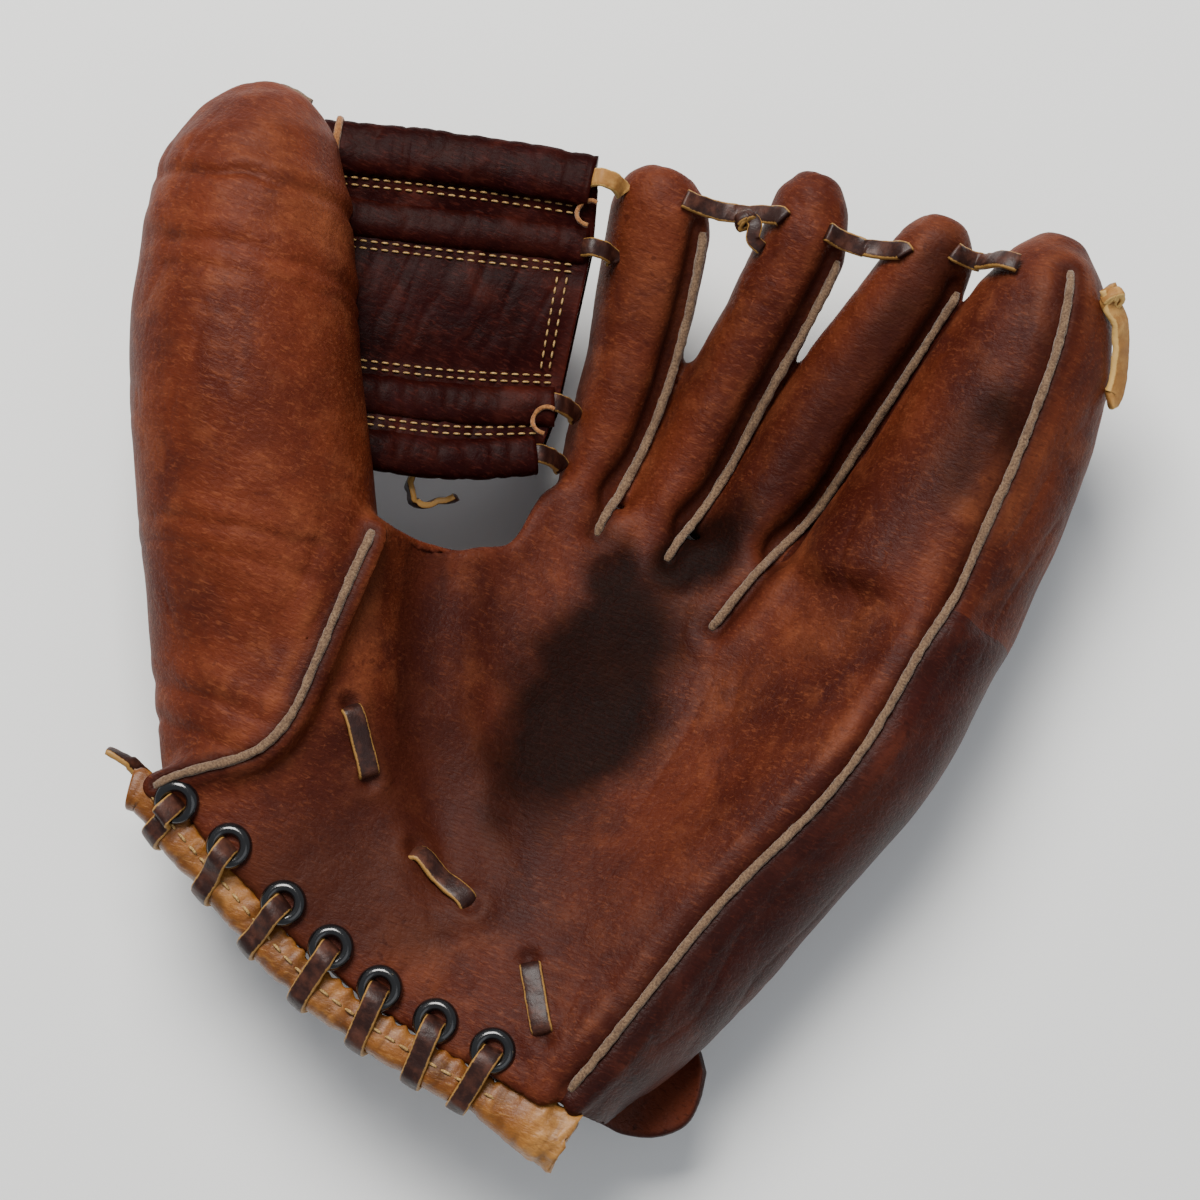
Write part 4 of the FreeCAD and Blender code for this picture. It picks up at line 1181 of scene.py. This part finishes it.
def web_sheet(lift, thick, columns=70, rows=70, seed=150):
    """A sheet behind the rolls, as a closed thin slab."""
    top = np.array([[across_web(u, v, lift(u, v)) for v in np.linspace(0, 3, rows)]
                    for u in np.linspace(0.0, 1.02, columns)])
    flat = top.reshape(-1, 3)
    fine_folds = ridges(flat * (1, 0.3, 1), 5.0, seed + 1)
    flat[:, 2] += 0.3 * noise(flat * (1, 0.4, 1), 6.0, seed) - 0.4 * fine_folds
    points = np.vstack([flat, flat - np.array([0, 0, thick])])
    i, j = np.meshgrid(np.arange(columns - 1), np.arange(rows - 1), indexing="ij")
    a = (i * rows + j).ravel()
    b = a + rows
    front = np.vstack([np.stack([a, b, b + 1], 1), np.stack([a, b + 1, a + 1], 1)])
    total = columns * rows
    rim = np.concatenate([
        np.arange(rows),
        np.arange(1, columns) * rows + rows - 1,
        (columns - 1) * rows + np.arange(rows - 2, -1, -1),
        np.arange(columns - 2, 0, -1) * rows,
    ])
    after = np.roll(rim, -1)
    rim_tris = [np.stack([rim, after, after + total], 1), np.stack([rim, after + total, rim + total], 1)]
    return points, np.vstack([front[:, ::-1], front + total, *rim_tris])


def panel_lift(u, v):
    """How far the web's front stands out: it bulges between the two middle rolls."""
    middle = math.sin(math.pi * min(max((v - 1.22) / 0.56, 0), 1)) ** 0.5
    return 1.3 + 1.1 * middle


points, tris = web_sheet(panel_lift, 1.8)
shown = {"stain_and_shade": np.full(len(points), 0.02), "wear": 0.3 * smooth(0.2, 0.9, noise(points, 9.0, 152)),
         "dirt_and_shade": 0.25 * smooth(0.3, 0.8, noise(points, 5.0, 153))}
make("web_front_leather", points, tris, shown, web_leather, ["web_front_panel"], "blend")
points, tris = web_sheet(lambda u, v: -5.4 - 1.2 * math.sin(math.pi * v / 3), 2.0, 50, 60, 155)
none = np.zeros(len(points))
shown = {"stain_and_shade": none + 0.05, "wear": none, "dirt_and_shade": none}
make("web_back_leather", points, tris, shown, web_leather, ["web_back_panel"], "blend")

WEB_STITCH = (1.9, 1.1, 0.29)  # length, gap and radius
rows_of_thread = []
for v in (0.5, 1.16, 1.84, 2.5):
    for offset in (-1.0, 1.0):
        line = np.array([across_web(u, v, 0) for u in np.linspace(0.03, 0.97, 60)])
        step = unit(across_web(0.5, v + 0.05, 0) - across_web(0.5, v - 0.05, 0)) * offset
        line = line + step + np.array([0, 0, panel_lift(0.5, v) + 0.15])
        rows_of_thread.append(stitches(line, UP, *WEB_STITCH))
for u in (0.905, 0.945):
    line = np.array([across_web(u, v, panel_lift(u, v) + 0.2) for v in np.linspace(1.2, 1.8, 30)])
    rows_of_thread.append(stitches(line, UP, *WEB_STITCH))
points, tris, _ = merged(rows_of_thread)
make("web_stitching", points, tris, None, cream_thread, (), "blend")

loops = []
for v, size in ((2.42, 3.6), (0.62, 3.8)):
    centre = across_web(1.0, v, 2.3)
    turn = np.linspace(-1.8, 1.8, 16)
    rise = 1.2 + 1.9 * np.abs(np.sin(turn))
    loop = centre + np.stack([-np.cos(turn) * size, np.sin(turn) * size, rise], axis=1)
    loops.append(roughened(ribbon(curved(loop, 3), (0, 0, 1), 0.6, 0.9, 3.0, 10), 0.12, 1.6, 160))
mouth = roll_lines["web_top_roll"][4]
turn = np.linspace(0, 2 * math.pi, 30)
way = unit(roll_lines["web_top_roll"][0] - roll_lines["web_top_roll"][2])
side = unit(np.cross(way, (0, 0, 1)))
rise = np.sin(turn) * 3.9
rim = mouth + side * (np.cos(turn) * 7.3)[:, None] + UP * rise[:, None]
loops.append(roughened(ribbon(rim, way, 1.5, 1.0, 3.0, 10), 0.15, 1.8, 162))
points, tris, values = merged(loops)
make("web_notch_edges", points, tris, None, raw_tan, (), "blend")

ties = []
by_height = sorted(islands("web_index_laces"), key=lambda part: part[0][part[1].ravel(), 1].mean())
for k, (points, tris) in enumerate(by_height):
    line = resampled(centreline(points, tris, (1, 0, 0), 14)[0], 0.7)
    share = np.linspace(0, 1, len(line))
    line[:, 2] -= 6.5 * smooth(0.55, 0.15, share) + 4.0 * smooth(0.72, 1.0, share)
    ties.append(roughened(ribbon(line, (0.2, 0, 1), 2.6, 1.0, 4.0, 16), 0.15, 2.0, 165 + k))
points, tris, values = ties.pop()
make("web_index_top_tie", points, tris, values, tan_lace, (), "blend")
points, tris, values = merged(ties)
make("web_index_ties", points, tris, values, lace_leather, ["web_index_laces"], "blend")
lace_piece("web_thumb_tie", "web_thumb_lace", (0, 1, 0), lace_leather, "blend")
lace_piece("web_tail", "web_lace_tail", (1, 0, 0), lace_leather, "blend", half_width=2.2, wobble=0.1,
           start=(-0.5, 6.0, -2.5))

# ---------------------------------------------------------------- light, floor and camera
FLOOR_REACH = 3.0
corners = [(x * FLOOR_REACH, y * FLOOR_REACH, 0) for x, y in ((-1, -1), (1, -1), (1, 1), (-1, 1))]
floor_mesh = bpy.data.meshes.new("floor")
floor_mesh.from_pydata(corners, [], [(0, 1, 2, 3)])
floor = bpy.data.objects.new("floor", floor_mesh)
bpy.context.scene.collection.objects.link(floor)
material, tree, shader = new_tree("floor_paint")
fill_in(tree, shader, {"Base Color": (0.92, 0.93, 0.92, 1), "Roughness": 0.7})
floor_mesh.materials.append(material)

world = bpy.data.worlds.new("studio")
bpy.context.scene.world = world
world.use_nodes = True
sky = {"Color": (0.86, 0.9, 0.96, 1), "Strength": 0.37}
fill_in(world.node_tree, world.node_tree.nodes["Background"], sky)

target = Vector((0.02297, 0.00449, 0.045))


def aimed(name, data, azimuth, elevation, distance):
    """Places a lamp or camera in degrees and metres from the middle of the glove, looking at it."""
    holder = bpy.data.objects.new(name, data)
    bpy.context.scene.collection.objects.link(holder)
    a, e = math.radians(azimuth), math.radians(elevation)
    away = Vector((math.sin(a) * math.cos(e), -math.cos(a) * math.cos(e), math.sin(e)))
    holder.location = target + away * distance
    holder.rotation_euler = away.to_track_quat("Z", "Y").to_euler()
    return holder


def lamp(name, size, watts, tint):
    """A soft square lamp."""
    light = bpy.data.lights.new(name, "AREA")
    light.size = size
    light.energy = watts
    light.color = tint
    return light


aimed("key", lamp("key", 0.7, 32.0, (1.0, 0.97, 0.93)), 218.0, 60.0, 1.4)
aimed("fill", lamp("fill", 1.2, 4.0, (0.93, 0.96, 1.0)), 60.0, 50.0, 1.6)
camera = bpy.data.cameras.new("camera")
camera.sensor_width = 36.0
camera.lens = 92.6
bpy.context.scene.camera = aimed("camera", camera, 22.0, 80.0, 0.85)
